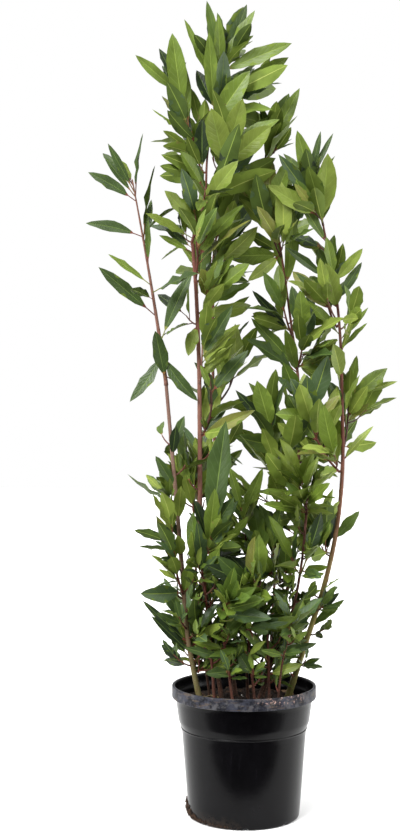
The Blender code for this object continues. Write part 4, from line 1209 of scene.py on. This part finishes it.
twigLook = {
    "sides": 8,
    "step": 0.004,
    "buried": 0.0015,  # how far a twig's foot goes into its limb
    "knee": 0.10,  # swelling where a leaf stands
    "kneeEvery": 0.9,  # turn of the swellings' wave at each step
    "kneeSharp": 8,
    "stout": 1.22,  # the bark stands a little proud of the solid's twig
    "least": 0.0009,
    "colours": [(0.130, 0.036, 0.022), (0.210, 0.095, 0.066), (0.150, 0.130, 0.035),
                (0.070, 0.024, 0.015)],
    "high": 0.45,  # shoots above this have the first of these finishes, others the second
    "dealt": ((0, 0, 1, 3, 3), (0, 0, 1, 2)),
    "grain": (220, 3),  # scale and detail
    "darkest": 0.62,
    "clouds": (0.52, 0.3),
}


def twigFinish(name, colour):
    finish = Finish(name)
    grain = finish.noise(finish.place(), *twigLook["grain"])
    dark = [c * twigLook["darkest"] for c in colour]
    tint = finish.blend(colour, dark, grain.over(*twigLook["clouds"]))
    return finish.surface(tint, grain * 0.2 + 0.42, 0.35, grain, 0.0004, 0.5)


parts = []
dice = random.Random(5)
for name, (twigs, blades) in shoots.items():
    piece, limb, at, *rule = shootPlans[name]
    inward = limbs[limb].at(at)[0] - twigs[0].path[0]
    tint = dice.choice(twigLook["dealt"][twigs[0].path[0].z <= twigLook["high"]])
    tint = 1 if name == "left_spire_leaves" else tint
    for i, twig in [*enumerate(twigs), *((9, twig) for twig in sprigTwigs[name])]:
        points = list(twig.path)
        if i == 0 and inward.length > 1e-5:
            points[0] = points[0] + inward.normalized() * twigLook["buried"]
        path = smoothPath(points, twigLook["step"])
        share = np.linspace(0, 1, len(path))
        radii = np.maximum(twig.radius(share) * twigLook["stout"], twigLook["least"])
        knees = 0.5 + 0.5 * np.cos(share * len(path) * twigLook["kneeEvery"] + i)
        radii = radii * (1 + twigLook["knee"] * knees ** twigLook["kneeSharp"])
        parts.append((*tubeArrays(path, radii, twigLook["sides"]), tint))
tubesPiece("twigs", parts, [twigFinish(f"twigBark{i}", c)
                            for i, c in enumerate(twigLook["colours"])], "young_bark", shootPlans)

budLook = {
    "sides": 7,
    "long": (0.0035, 0.0070),
    "profile": ((0.0, 0.45), (0.2, 0.95), (0.45, 1.0), (0.75, 0.6), (0.93, 0.25)),
    "stout": 0.22,  # radius against length
    "side": 0.55,  # a side bud against a tip bud
    "share": 0.7,  # leaves with a side bud
    "buried": (0.0008, 0.0012),
    "colours": [(0.130, 0.160, 0.045), (0.160, 0.075, 0.045)],
}


def bud(root, way, long):  # radius = stout L profile(s), s along the bud
    profile = np.array(budLook["profile"])
    path = np.array(root)[None] + np.array(way)[None] * (profile[:, :1] * long)
    return (*tubeArrays(path, profile[:, 1] * long * budLook["stout"], budLook["sides"]),
            dice.randrange(2))


parts = []
dice = random.Random(17)
for twigs, blades in shoots.values():
    for twig in twigs:
        way = (twig.path[-1] - twig.path[-2]).normalized()
        parts.append(bud(twig.path[-1] - way * budLook["buried"][0], way,
                         dice.uniform(*budLook["long"])))
    for blade in blades:
        if dice.random() < budLook["share"]:
            parts.append(bud(blade.root, (blade.way + blade.up * 0.8).normalized(),
                             dice.uniform(*budLook["long"]) * budLook["side"]
                             + budLook["buried"][1]))
tubesPiece("buds", parts, [leafFinish(f"bud{i}", c, 0.5, 0.3)
                           for i, c in enumerate(budLook["colours"])], "leaf_green")

barkLook = {
    "sides": 18,
    "step": 0.0025,
    "swelling": (0.030, 3, 40, 9),  # share of the radius, waves round, per metre, and its fading
    "ridges": ((0.020, 7, -25), (0.014, 11, 300), (0.014, 5, -520)),  # share, round, per metre
    "node": 0.12,  # swelling of a leaf scar's ring
    "nodeEvery": 0.034,
    "nodeLong": 0.0022,
    "scar": (0.35, 1.1),  # swelling of the ring all round, and more at its scar
    "scarTurn": 2.4,
    "scarWide": 0.6,
    "patch": (30, 4, 0.6),  # scale, detail and roughness
    "grain": (420, 3, 0.6),
    "grainLong": (1, 1, 0.16),
    "spots": (520, 1),
    "spotsLong": (1, 1, 1.8),
    "patchy": 0.35,
    "streaks": (0.58, 0.20, 0.45),  # edge, softness and share
    "flecks": (0.70, 0.05, 0.6),
    "slender": ((0.20, 0.45), (0.72, 1.0)),  # inner limbs against the rule's width, by height
    "outer": ("left_stem", "right_stem"),  # the others are inner limbs
    "short": 0.25,  # limbs up to this length have the bark of short stems
    "low": 0.17,  # the finish's colours run between these heights
    "high": 1.05,
    "finishes": {  # colours by height, colour of flecks; the inner and short limbs have painted shade near their feet
        "barkLeft": (((0.0, (0.110, 0.100, 0.034)), (0.18, (0.150, 0.095, 0.055)),
                      (0.45, (0.190, 0.115, 0.085)), (0.72, (0.150, 0.062, 0.048)),
                      (1.0, (0.085, 0.026, 0.018))), (0.36, 0.27, 0.20)),
        "barkRight": (((0.0, (0.120, 0.115, 0.030)), (0.14, (0.235, 0.205, 0.055)),
                       (0.30, (0.215, 0.120, 0.058)), (0.45, (0.190, 0.070, 0.050)),
                       (1.0, (0.085, 0.026, 0.018))), (0.36, 0.27, 0.20)),
        # painted shade: these two finishes are darkest near the compost, under the crown
        "barkInnerShadedFoot": (((0.0, (0.034, 0.019, 0.011)), (0.20, (0.105, 0.040, 0.025)),
                       (0.5, (0.225, 0.105, 0.075)), (0.72, (0.170, 0.062, 0.044)),
                       (1.0, (0.100, 0.028, 0.018))), (0.34, 0.24, 0.17)),
        "barkShortShadedFoot": (((0.0, (0.030, 0.016, 0.010)), (0.10, (0.088, 0.028, 0.017)),
                       (0.5, (0.170, 0.042, 0.026))), (0.28, 0.18, 0.11)),
    },
}


def barkRelief(seed, long):
    # share = swelling sin(turns a + waves z) sin(fade z) + the same of each ridge, without the
    # fading, + node (ring + scar facing) exp(-(off / long)^2) for the way off the nearest node
    phase = np.random.default_rng(seed).uniform(0, math.tau, 6)
    high, turns, waves, fade = barkLook["swelling"]
    ring, scar = barkLook["scar"]

    def relief(s, a):
        z = s * long
        turn = z / barkLook["nodeEvery"]
        off = (turn - np.round(turn)) * barkLook["nodeEvery"]
        near = np.exp(-(off / barkLook["nodeLong"]) ** 2)
        side = (a - np.round(turn) * barkLook["scarTurn"] - phase[5] + math.pi) % math.tau
        facing = np.exp(-((side - math.pi) / barkLook["scarWide"]) ** 2)
        out = high * np.sin(turns * a + waves * z + phase[0]) * np.sin(fade * z + phase[1])
        for (share, around, along), start in zip(barkLook["ridges"], phase[2:]):
            out = out + share * np.sin(around * a + along * z + start)
        return out + barkLook["node"] * near * (ring + scar * facing)
    return relief


def barkFinish(name, stops, flecks):  # colours by height, each broken up by patches
    finish = Finish(name)
    place = finish.place()
    z = finish.split(place, 2)
    patch = finish.noise(place, *barkLook["patch"])
    long = finish.noise(finish.stretch(place, barkLook["grainLong"]), *barkLook["grain"])
    spots = finish.noise(finish.stretch(place, barkLook["spotsLong"]), *barkLook["spots"])
    low, high = barkLook["low"], barkLook["high"]
    share = (z - low) / (high - low) + (patch - 0.5) * barkLook["patchy"]
    tint = finish.node("ShaderNodeValToRGB", {"stops": stops}, {"Fac": share})
    for colour, mask, key in ((stops[-1][1], long, "streaks"), (flecks, spots, "flecks")):
        *edge, most = barkLook[key]
        tint = finish.blend(tint, colour, mask.over(*edge) * most)
    return finish.surface(tint, long * 0.25 + 0.50, 0.25, long + spots * 0.4, strength=0.7)


parts = []
for i, (name, limb) in enumerate(limbs.items()):
    path = smoothPath(limb.path, barkLook["step"])
    lengths = np.concatenate([[0], np.cumsum(np.linalg.norm(np.diff(path, axis=0), axis=1))])
    radii = limb.foot + (limb.tip - limb.foot) * (lengths / lengths[-1]) ** growth["taper"]
    radii = radii * (1 + (limb.flare - 1) * np.exp(-lengths / growth["flareFade"]))
    if name in barkLook["outer"]:
        finish = barkLook["outer"].index(name)
    else:
        finish = 2 if limb.long > barkLook["short"] else 3
        radii = radii * np.interp(path[:, 2], *barkLook["slender"])
    parts.append((*tubeArrays(path, radii, barkLook["sides"], barkRelief(i, lengths[-1])), finish))
tubesPiece("stems", parts, [barkFinish(name, *looks)
                            for name, looks in barkLook["finishes"].items()], "old_bark", limbRuns)


# the pot: a profile turned round z

potLook = {
    "steps": 224,
    "wobble": 0.0003,  # how far from round
    "notches": 8,
    "notchRadius": 0.0045,
    "notchDrop": 0.0010,
    "notchReach": 0.0735,  # the notches run in to this radius
    "notchRise": (0.0015, 0.0012),  # points above the first height rise by the second
    "band": 0.1802,  # the dull band of the rim starts at this height
    "bandSoft": 0.0006,
    "bandOut": (0.0115, 0.0003),  # square of the radius where it starts, and softness
    "footHigh": (0.012, 0.02),  # dirt lies below this height
    "footLeft": (-0.02, 0.05),  # and left of this x
    "chipped": ((0.020, 0.03), (0.080, 0.03), (0.1875, 0.006)),  # from x, to x, from height
    "plastic": (0.0012, 0.0011, 0.0014),
    "noises": {  # stretch if any, then scale, detail and roughness
        "cloud": ((), 16, 4, 0.6),
        "dust": ((), 75, 5, 0.7),
        "mottle": ((), 62, 5, 0.75),
        "streak": ((1, 1, 0.10), 120, 3, 0.6),
        "rings": ((0.15, 0.15, 1), 260, 3, 0.6),
        "chips": ((), 190, 3, 0.75),
    },
    "coats": (  # noise, where it lies if not all over, edge, softness, share, colour
        ("cloud", "", 0.5, 0.35, 1, (0.0030, 0.0028, 0.0034)),
        ("streak", "", 0.66, 0.16, 0.20, (0.012, 0.011, 0.014)),
        ("dust", "foot", 0.52, 0.14, 0.6, (0.040, 0.028, 0.020)),
        ("mottle", "band", 0.50, 0.16, 0.85, (0.036, 0.038, 0.052)),
        ("dust", "band", 0.56, 0.10, 0.55, (0.105, 0.102, 0.105)),
        ("rings", "band", 0.60, 0.08, 0.45, (0.120, 0.085, 0.055)),
        ("chips", "chipped", 0.60, 0.04, 1, (0.460, 0.300, 0.260)),
    ),
    "allOver": 0.15,  # least share of the mottle on the band
    "outside": ((0.1088, 0.19800), (0.1094, 0.19785), (0.1098, 0.19740), (0.1100, 0.19660),
                (0.1100, 0.1920), (0.1099, 0.1870), (0.1100, 0.1815), (0.1098, 0.1806),
                (0.1092, 0.1801), (0.1056, 0.1799), (0.1049, 0.1797), (0.1045, 0.1790),
                (0.1035, 0.1720), (0.1022, 0.1620), (0.1009, 0.1530), (0.1001, 0.1470),
                (0.0998, 0.1456), (0.0990, 0.1432), (0.0972, 0.1385), (0.0962, 0.1360),
                (0.09585, 0.1352), (0.0959, 0.1349), (0.0965, 0.1345), (0.0967, 0.1341),
                (0.0966, 0.1337), (0.0960, 0.1333), (0.0954, 0.1329), (0.0952, 0.1320),
                (0.0945, 0.1240), (0.0936, 0.1130), (0.0925, 0.1000), (0.0914, 0.0860),
                (0.0901, 0.0710), (0.0889, 0.0560), (0.0876, 0.0410), (0.0864, 0.0260),
                (0.0853, 0.0130), (0.0847, 0.0070), (0.0845, 0.0046), (0.0842, 0.0028),
                (0.0834, 0.0013), (0.0822, 0.0004), (0.0805, 0.0000), (0.0770, 0.0000),
                (0.0730, 0.0000), (0.0400, 0.0000)),
    "inside": ((0.0500, 0.0020), (0.0790, 0.0020), (0.0824, 0.0045), (0.0829, 0.0070),
               (0.0939, 0.1345), (0.0985, 0.1465), (0.1005, 0.1600), (0.1019, 0.1700),
               (0.1027, 0.1765), (0.1030, 0.1796), (0.1038, 0.1812), (0.1049, 0.1840),
               (0.1053, 0.1900), (0.1055, 0.1955), (0.1058, 0.1974), (0.1064, 0.1979)),
}


def turnedArrays(outside, inside, steps, bend):
    # point(k, a) = (r(k) cos a, r(k) sin a, z(k)), then bent; each end closes on the axis
    rings = np.array(outside + inside)
    a = np.arange(steps) * math.tau / steps
    points = np.stack([rings[:, :1] * np.cos(a), rings[:, :1] * np.sin(a),
                       rings[:, 1:] * np.ones((1, steps))], axis=-1)
    points = bend(points, rings[:, :1], a[None, :]).reshape(-1, 3)
    poles = np.array([(0, 0, outside[-1][1]), (0, 0, inside[0][1])])
    n, m = len(outside), len(rings)
    quads = ringFaces(m, steps)
    keep = np.ones(len(quads), bool)
    keep[(n - 1) * steps:n * steps] = False
    j, after = np.arange(steps), (np.arange(steps) + 1) % steps
    lip = np.stack([(m - 1) * steps + j, (m - 1) * steps + after, after, j], axis=1)
    low = np.stack([(n - 1) * steps + j, (n - 1) * steps + after, np.full(steps, m * steps)], 1)
    high = np.stack([n * steps + after, n * steps + j, np.full(steps, m * steps + 1)], 1)
    return (np.concatenate([points, poles]),
            [np.concatenate([quads[keep], lip]), np.concatenate([low, high])])


def potBend(points, r, a):  # a little out of round, and notches raised in the foot's edge
    squeeze = potLook["wobble"] * (0.5 * np.sin(2 * a + 0.6) + 0.3 * np.sin(3 * a + 2.0) - 0.8)
    points[..., :2] *= (1 + squeeze / r * (points[..., 2] / potHigh.z))[..., None]
    pitch = math.tau / potLook["notches"]
    off = np.abs((a / pitch + 0.5) % 1 - 0.5) * pitch * r
    arch = np.sqrt(np.maximum(potLook["notchRadius"] ** 2 - off ** 2, 0)) - potLook["notchDrop"]
    arch = np.where(r > potLook["notchReach"], np.maximum(arch, 0), 0)
    edge, rise = potLook["notchRise"]
    points[..., 2] = np.maximum(points[..., 2],
                                arch + np.where(points[..., 2] > edge, rise, 0) * (arch > 0))
    return points


def potFinish():
    finish = Finish("blackPlastic")
    place = finish.place()
    x, y, z = (finish.split(place, k) for k in range(3))
    noises = {name: finish.noise(finish.stretch(place, stretch) if stretch else place, *noise)
              for name, (stretch, *noise) in potLook["noises"].items()}
    (left, leftSoft), (right, rightSoft), up = potLook["chipped"]
    band = (z.over(potLook["band"], potLook["bandSoft"])
            * (x * x + y * y).over(*potLook["bandOut"]))
    where = {
        "band": band,
        "foot": (1 - z.over(*potLook["footHigh"])) * (1 - x.over(*potLook["footLeft"])),
        "chipped": x.over(left, leftSoft) * (right - x).over(0, rightSoft) * band * z.over(*up),
    }
    tint = potLook["plastic"]
    for noise, part, edge, soft, share, colour in potLook["coats"]:
        mask = noises[noise].over(edge, soft) * share
        if noise == "mottle":
            mask = mask + potLook["allOver"]
        tint = finish.blend(tint, colour, where[part] * mask if part else mask)
    dust, streak, rings = (noises[name] for name in ("dust", "streak", "rings"))
    return finish.surface(tint, dust * 0.10 + streak * 0.06 + band * 0.24 + 0.14, 0.125,
                          dust * 0.5 + streak * 0.5 + rings * 0.5, 0.0004, 0.25)


meshPiece("nurseryPot", *turnedArrays(potLook["outside"], potLook["inside"], potLook["steps"],
                                      potBend), [potFinish()], "black_plastic", ["pot"], sharp=60)
print("pot turned")


# compost and what lies on it

soilLook = {
    "rings": 64,
    "steps": 200,
    "edge": 0.1018,  # radius of the surface
    "side": ((0.0400, 0.0023), (0.0780, 0.0023), (0.0822, 0.0064), (0.0932, 0.1350),
             (0.0979, 0.1465), (0.1012, 0.1700)),
    "relief": (0.0021, 0.0011, 0.0006),
    "waves": (0.030, 0.011, 0.0045),  # wavelengths of that relief
    "plane": (12, 0.42, 0.8, 1.25),  # plane waves, share of each, their lengths by chance
    "mound": 0.002,  # how much higher the middle lies
    "drop": 0.0006,
    "bare": 0.003,  # nothing is strewn so near the edge
    "colours": ((0.0050, 0.0027, 0.0018), (0.024, 0.013, 0.008), 130),
    "finer": 6,  # scale of the fine noise against the clumps'
    "mix": (0.6, 0.4),
    "clouds": (0.52, 0.22),
}


def rolling(x, y, seed):  # height = sum over wavelengths of a mean of twelve plane waves
    rng = np.random.default_rng(seed)
    out = np.zeros_like(x)
    count, each, *lengths = soilLook["plane"]
    for height, length in zip(soilLook["relief"], soilLook["waves"]):
        for k in range(count):
            a, p = rng.uniform(0, math.tau, 2)
            w = math.tau / (length * rng.uniform(*lengths))
            out += height * each * np.sin(w * (x * math.cos(a) + y * math.sin(a)) + p)
    return out


def soilHeight(x, y):
    r = np.hypot(x, y) / soilLook["edge"]
    return (soil + rolling(x, y, 3) * (1 - 0.6 * r ** 6)
            + soilLook["mound"] * (0.6 - r ** 2) - soilLook["drop"])


def soilFinish(name, dark, light, scale):
    finish = Finish(name)
    place = finish.place()
    clump = finish.noise(place, scale, 5, 0.65)
    fine = finish.noise(place, scale * soilLook["finer"], 3, 0.7)
    coarse, little = soilLook["mix"]
    tint = finish.blend(dark, light, (clump * coarse + fine * little).over(*soilLook["clouds"]))
    return finish.surface(tint, fine * 0.15 + 0.80, 0.25, clump + fine * 0.6, 0.0015, 0.9)


def soilBend(points, r, a):
    high = points[..., 2]
    points[..., 2] = np.where(high > soil - 1e-6, soilHeight(points[..., 0], points[..., 1]), high)
    return points


top = [(float(r), soil) for r in np.linspace(1, 0.01, soilLook["rings"]) * soilLook["edge"]]
points, faces = turnedArrays(top, list(soilLook["side"]), soilLook["steps"], soilBend)
points[-2, 2] = soilHeight(np.zeros(1), np.zeros(1))[0]
meshPiece("compostFill", points, faces, [soilFinish("compost", *soilLook["colours"])], "compost",
          ["compost"])

jitter = 0.28  # how far a lump's corners stand in or out by chance
golden = (1 + math.sqrt(5)) / 2
lumpCorners = unit(np.array([(-1, golden, 0), (1, golden, 0), (-1, -golden, 0), (1, -golden, 0),
                             (0, -1, golden), (0, 1, golden), (0, -1, -golden),
                             (0, 1, -golden), (golden, 0, -1), (golden, 0, 1),
                             (-golden, 0, -1), (-golden, 0, 1)]))
lumpFaces = np.array([(0, 11, 5), (0, 5, 1), (0, 1, 7), (0, 7, 10), (0, 10, 11), (1, 5, 9),
                      (5, 11, 4), (11, 10, 2), (10, 7, 6), (7, 1, 8), (3, 9, 4), (3, 4, 2),
                      (3, 2, 6), (3, 6, 8), (3, 8, 9), (4, 9, 5), (2, 4, 11), (6, 2, 10),
                      (8, 6, 7), (9, 8, 1)])


def turnsAtRandom(rng, n):  # n rotation matrices from random quaternions
    w, x, y, z = unit(rng.normal(size=(n, 4))).T
    rows = ((1 - 2 * (y * y + z * z), 2 * (x * y - z * w), 2 * (x * z + y * w)),
            (2 * (x * y + z * w), 1 - 2 * (x * x + z * z), 2 * (y * z - x * w)),
            (2 * (x * z - y * w), 2 * (y * z + x * w), 1 - 2 * (x * x + y * y)))
    return np.stack([np.stack(row, -1) for row in rows], axis=1)


def lumpPiece(name, places, sizes, shape, seed, finishes, dealt=None):
    # point = place + R (size * shape * corner * (1 + jitter)) for the corners of a twenty-faced ball
    rng = np.random.default_rng(seed)
    n = len(places)
    corners = lumpCorners[None] * (1 + rng.uniform(-jitter, jitter, (n, 12, 1)))
    corners = corners * np.array(shape) * sizes[:, None, None]
    corners = np.einsum("nij,nkj->nki", turnsAtRandom(rng, n), corners) + places[:, None, :]
    faces = (lumpFaces[None] + (np.arange(n) * 12)[:, None, None]).reshape(-1, 3)
    meshPiece(name, corners.reshape(-1, 3), [faces], finishes, "compost",
              dealt=None if dealt is None else [np.repeat(dealt, 20)])


def onSoil(count, seed, lift):
    rng = np.random.default_rng(seed)
    r = np.sqrt(rng.uniform(0, 1, count)) * (soilLook["edge"] - soilLook["bare"])
    a = rng.uniform(0, math.tau, count)
    x, y = r * np.cos(a), r * np.sin(a)
    return np.stack([x, y, soilHeight(x, y) + lift], axis=1), rng


crumbs = {
    "count": 1500,
    "lift": 0.0002,
    "sizes": (0.0006, 0.0026),
    "fine": 2.2,  # more than 1 makes most of them small
    "shape": (1.0, 0.85, 0.7),
    "dark": ((0.0070, 0.0040, 0.0027), (0.026, 0.015, 0.010), 300),
    "brown": ((0.028, 0.015, 0.009), (0.072, 0.041, 0.025), 300),
    "shares": (0.84, 0.16),
}
places, rng = onSoil(crumbs["count"], 21, crumbs["lift"])
least, most = crumbs["sizes"]
sizes = rng.uniform(0, 1, len(places)) ** crumbs["fine"] * (most - least) + least
crumbFinishes = [soilFinish("crumbDark", *crumbs["dark"]),
                 soilFinish("crumbBrown", *crumbs["brown"])]
lumpPiece("compostCrumbs", places, sizes, crumbs["shape"], 22, crumbFinishes,
          rng.choice(2, len(places), p=crumbs["shares"]))

soilBits = {  # how many, seed, lift, sizes, shape, finish
    "barkChips": (130, 23, 0.0008, (0.0022, 0.0058), (1.0, 0.42, 0.24),
                  ("chipBrown", (0.030, 0.016, 0.010), (0.085, 0.047, 0.028), 260)),
    "perlite": (22, 25, 0.0006, (0.0007, 0.0018), (1.0, 0.9, 0.8),
                ("perliteWhite", (0.46, 0.44, 0.40), (0.74, 0.72, 0.68), 400)),
}
for name, (count, seed, lift, sizes, shape, looks) in soilBits.items():
    places, rng = onSoil(count, seed, lift)
    lumpPiece(name, places, rng.uniform(*sizes, count), shape, seed + 1, [soilFinish(*looks)])

stuckLook = {  # compost that clings to the foot of the pot
    "count": 560,
    "from": 170,  # degrees round the pot
    "to": 266,
    "crowd": (1.0, 1.7),  # shape of the chance: more of it lies near the start
    "high": ((170, 190, 212, 266), (0.024, 0.020, 0.008, 0.004)),
    "low": (1.6, 0.0010),  # more than 1 keeps most of it low; least height
    "sizes": ((170, 198, 215, 266), (0.0036, 0.0028, 0.0014, 0.0009)),
    "least": 0.0004,
    "most": 0.75,  # against the height
    "shape": (1.0, 0.8, 0.6),
    "out": 0.45,  # how far a lump's middle stands off the wall, against its size
    "wall": ((0, 0.0046, 0.026), (0.0815, 0.0843, 0.0862)),  # the pot's radius, by height
    "shares": (0.35, 0.65),
}
rng = np.random.default_rng(31)
count = stuckLook["count"]
around = rng.beta(*stuckLook["crowd"], count)
around = stuckLook["from"] + (stuckLook["to"] - stuckLook["from"]) * around
power, least = stuckLook["low"]
rise = np.interp(around, *stuckLook["high"]) * rng.uniform(0, 1, count) ** power + least
sizes = rng.uniform(0, 1, count) ** 2 * np.interp(around, *stuckLook["sizes"])
sizes = np.minimum(sizes + stuckLook["least"], rise * stuckLook["most"])
around = np.radians(around)
wall = np.interp(rise, *stuckLook["wall"]) + stuckLook["out"] * sizes
places = np.stack([wall * np.cos(around), wall * np.sin(around), rise], axis=1)
lumpPiece("stuckCompost", places, sizes, stuckLook["shape"], 32, crumbFinishes,
          rng.choice(2, count, p=stuckLook["shares"]))

litterLook = {
    "count": 16,
    "long": (0.018, 0.040),
    "wide": (0.26, 0.36),
    "bend": (-0.1, 0.2),
    "sway": (-0.2, 0.2),
    "fold": (0.1, 0.5),
    "rise": (-0.10, 0.16),
    "tilt": (-0.4, 0.4),
    "lift": 0.0022,
    "from": 0.085,  # roots lie within this radius, tips within the next
    "to": 0.094,
    "stalk": 0.12,
    "colours": [(0.130, 0.075, 0.035), (0.075, 0.042, 0.024), (0.170, 0.120, 0.055)],
}


def fallenLeaves():  # dry leaves that lie on the compost
    dice = random.Random(41)

    def chance(key):
        return dice.uniform(*litterLook[key])

    out = []
    while len(out) < litterLook["count"]:
        r, a = litterLook["from"] * math.sqrt(dice.random()), dice.uniform(0, math.tau)
        x, y = r * math.cos(a), r * math.sin(a)
        turn = dice.uniform(0, math.tau)
        way = Vector((math.cos(turn), math.sin(turn), chance("rise"))).normalized()
        up = squareTo(way, Vector((chance("tilt"), chance("tilt"), 1)))
        long = chance("long")
        end = Vector((x, y, 0)) + way * long
        if math.hypot(end.x, end.y) <= litterLook["to"]:
            z = float(soilHeight(np.array([x]), np.array([y]))[0]) + litterLook["lift"]
            out.append(Leaf(Vector((x, y, z)), way, up, long, long * chance("wide"),
                            chance("bend"), chance("sway"), chance("fold")))
    return out


fallen = fallenLeaves()
points, faces, kinds, uv = leafArrays(fallen, [litterLook["stalk"]] * len(fallen), 43)
dealt = np.arange(len(fallen)) % len(litterLook["colours"])
meshPiece("fallenLeaves", points, faces,
          [leafFinish(f"dryLeaf{i}", c, 0.7, 0.2) for i, c in enumerate(litterLook["colours"])],
          "compost", dealt=[np.repeat(dealt, len(kind)) for kind in kinds],
          sharp=leafLook["crease"], uv=uv)
print("compost laid")


# floor, light and camera

stageLook = {
    "floor": (0.93, 0.93, 0.925),
    "wide": 6.0,
    "front": -0.19,  # the table's edge: what is before it leaves the pot's face dark
    "back": 9.0,
}
wide, front, back = stageLook["wide"], stageLook["front"], stageLook["back"]
floor = meshPiece("studioFloor", np.array([(-wide, front, 0), (wide, front, 0), (wide, back, 0),
                                           (-wide, back, 0)]), [np.array([(0, 1, 2, 3)])],
                  [Finish("paleStudio").surface(stageLook["floor"], 0.9, 0.1)])


lightLook = {  # place, height it looks at, strength or watts, degrees of its face or its size
    "keySun": ((-1.9, -2.4, 2.25), 0, 3.9, 32),
    "topSun": ((0.1, 0.2, 3.0), 0, 1.9, 55),
    "fillLight": ((2.5, -1.9, 1.8), 0.6, 50, (2.0, 2.0)),
    "leftStrip": ((-1.9, -0.3, 0.9), 0.3, 14, (0.5, 1.8)),
    "rightStrip": ((1.9, -0.1, 0.9), 0.3, 12, (0.5, 1.8)),
}
for name, (place, high, strength, face) in lightLook.items():
    isSun = name.endswith("Sun")
    light = bpy.data.lights.new(name, "SUN" if isSun else "AREA")
    light.energy = strength
    if isSun:
        light.angle = math.radians(face)
    else:
        light.shape, light.size, light.size_y = "RECTANGLE", *face
    lamp = bpy.data.objects.new(name, light)
    lamp.location = place
    towards = Vector((0, 0, high)) - Vector(place)
    lamp.rotation_euler = towards.to_track_quat("-Z", "Y").to_euler()
    bpy.context.scene.collection.objects.link(lamp)

worldLook = {
    "sky": (0.58, 0.58, 0.58),
    "front": (0.020, 0.020, 0.022),  # what glossy faces mirror from the camera's side
    "seen": (1.0, 1.0, 1.0),  # what the camera sees behind
    "edges": ((0.45, 0.4), (0.45, 0.5)),  # where that side starts, forward and upward
}
world = bpy.data.worlds.new("studioWorld")
world.use_nodes = True
bpy.context.scene.world = world
sky = Finish("skyHelper")
sky.tree = world.node_tree
sky.tree.nodes.clear()
way = sky.node("ShaderNodeTexCoord")
forward, upward = worldLook["edges"]
share = (0 - sky.split(way, 1)).over(*forward) * (1 - sky.split(way, 2).over(*upward))
colour = sky.layers(worldLook["sky"],
                    (worldLook["front"], share * sky.node("ShaderNodeLightPath", out=3)),
                    (worldLook["seen"], sky.node("ShaderNodeLightPath")))
sky.node("ShaderNodeOutputWorld", sockets={0: sky.node("ShaderNodeBackground",
                                                       sockets={0: colour})})
bpy.data.materials.remove(sky.material)

cameraLook = {
    "lens": 56.57,
    "sensor": 36,
}
camera = bpy.data.objects.new("camera", bpy.data.cameras.new("camera"))
camera.location = eye
camera.rotation_euler = (math.radians(90), 0, 0)
camera.data.lens, camera.data.sensor_width = cameraLook["lens"], cameraLook["sensor"]
bpy.context.scene.collection.objects.link(camera)
bpy.context.scene.camera = camera
bpy.context.scene.view_settings.view_transform = "Standard"
bpy.context.scene.view_settings.look = "None"
print("stage set")
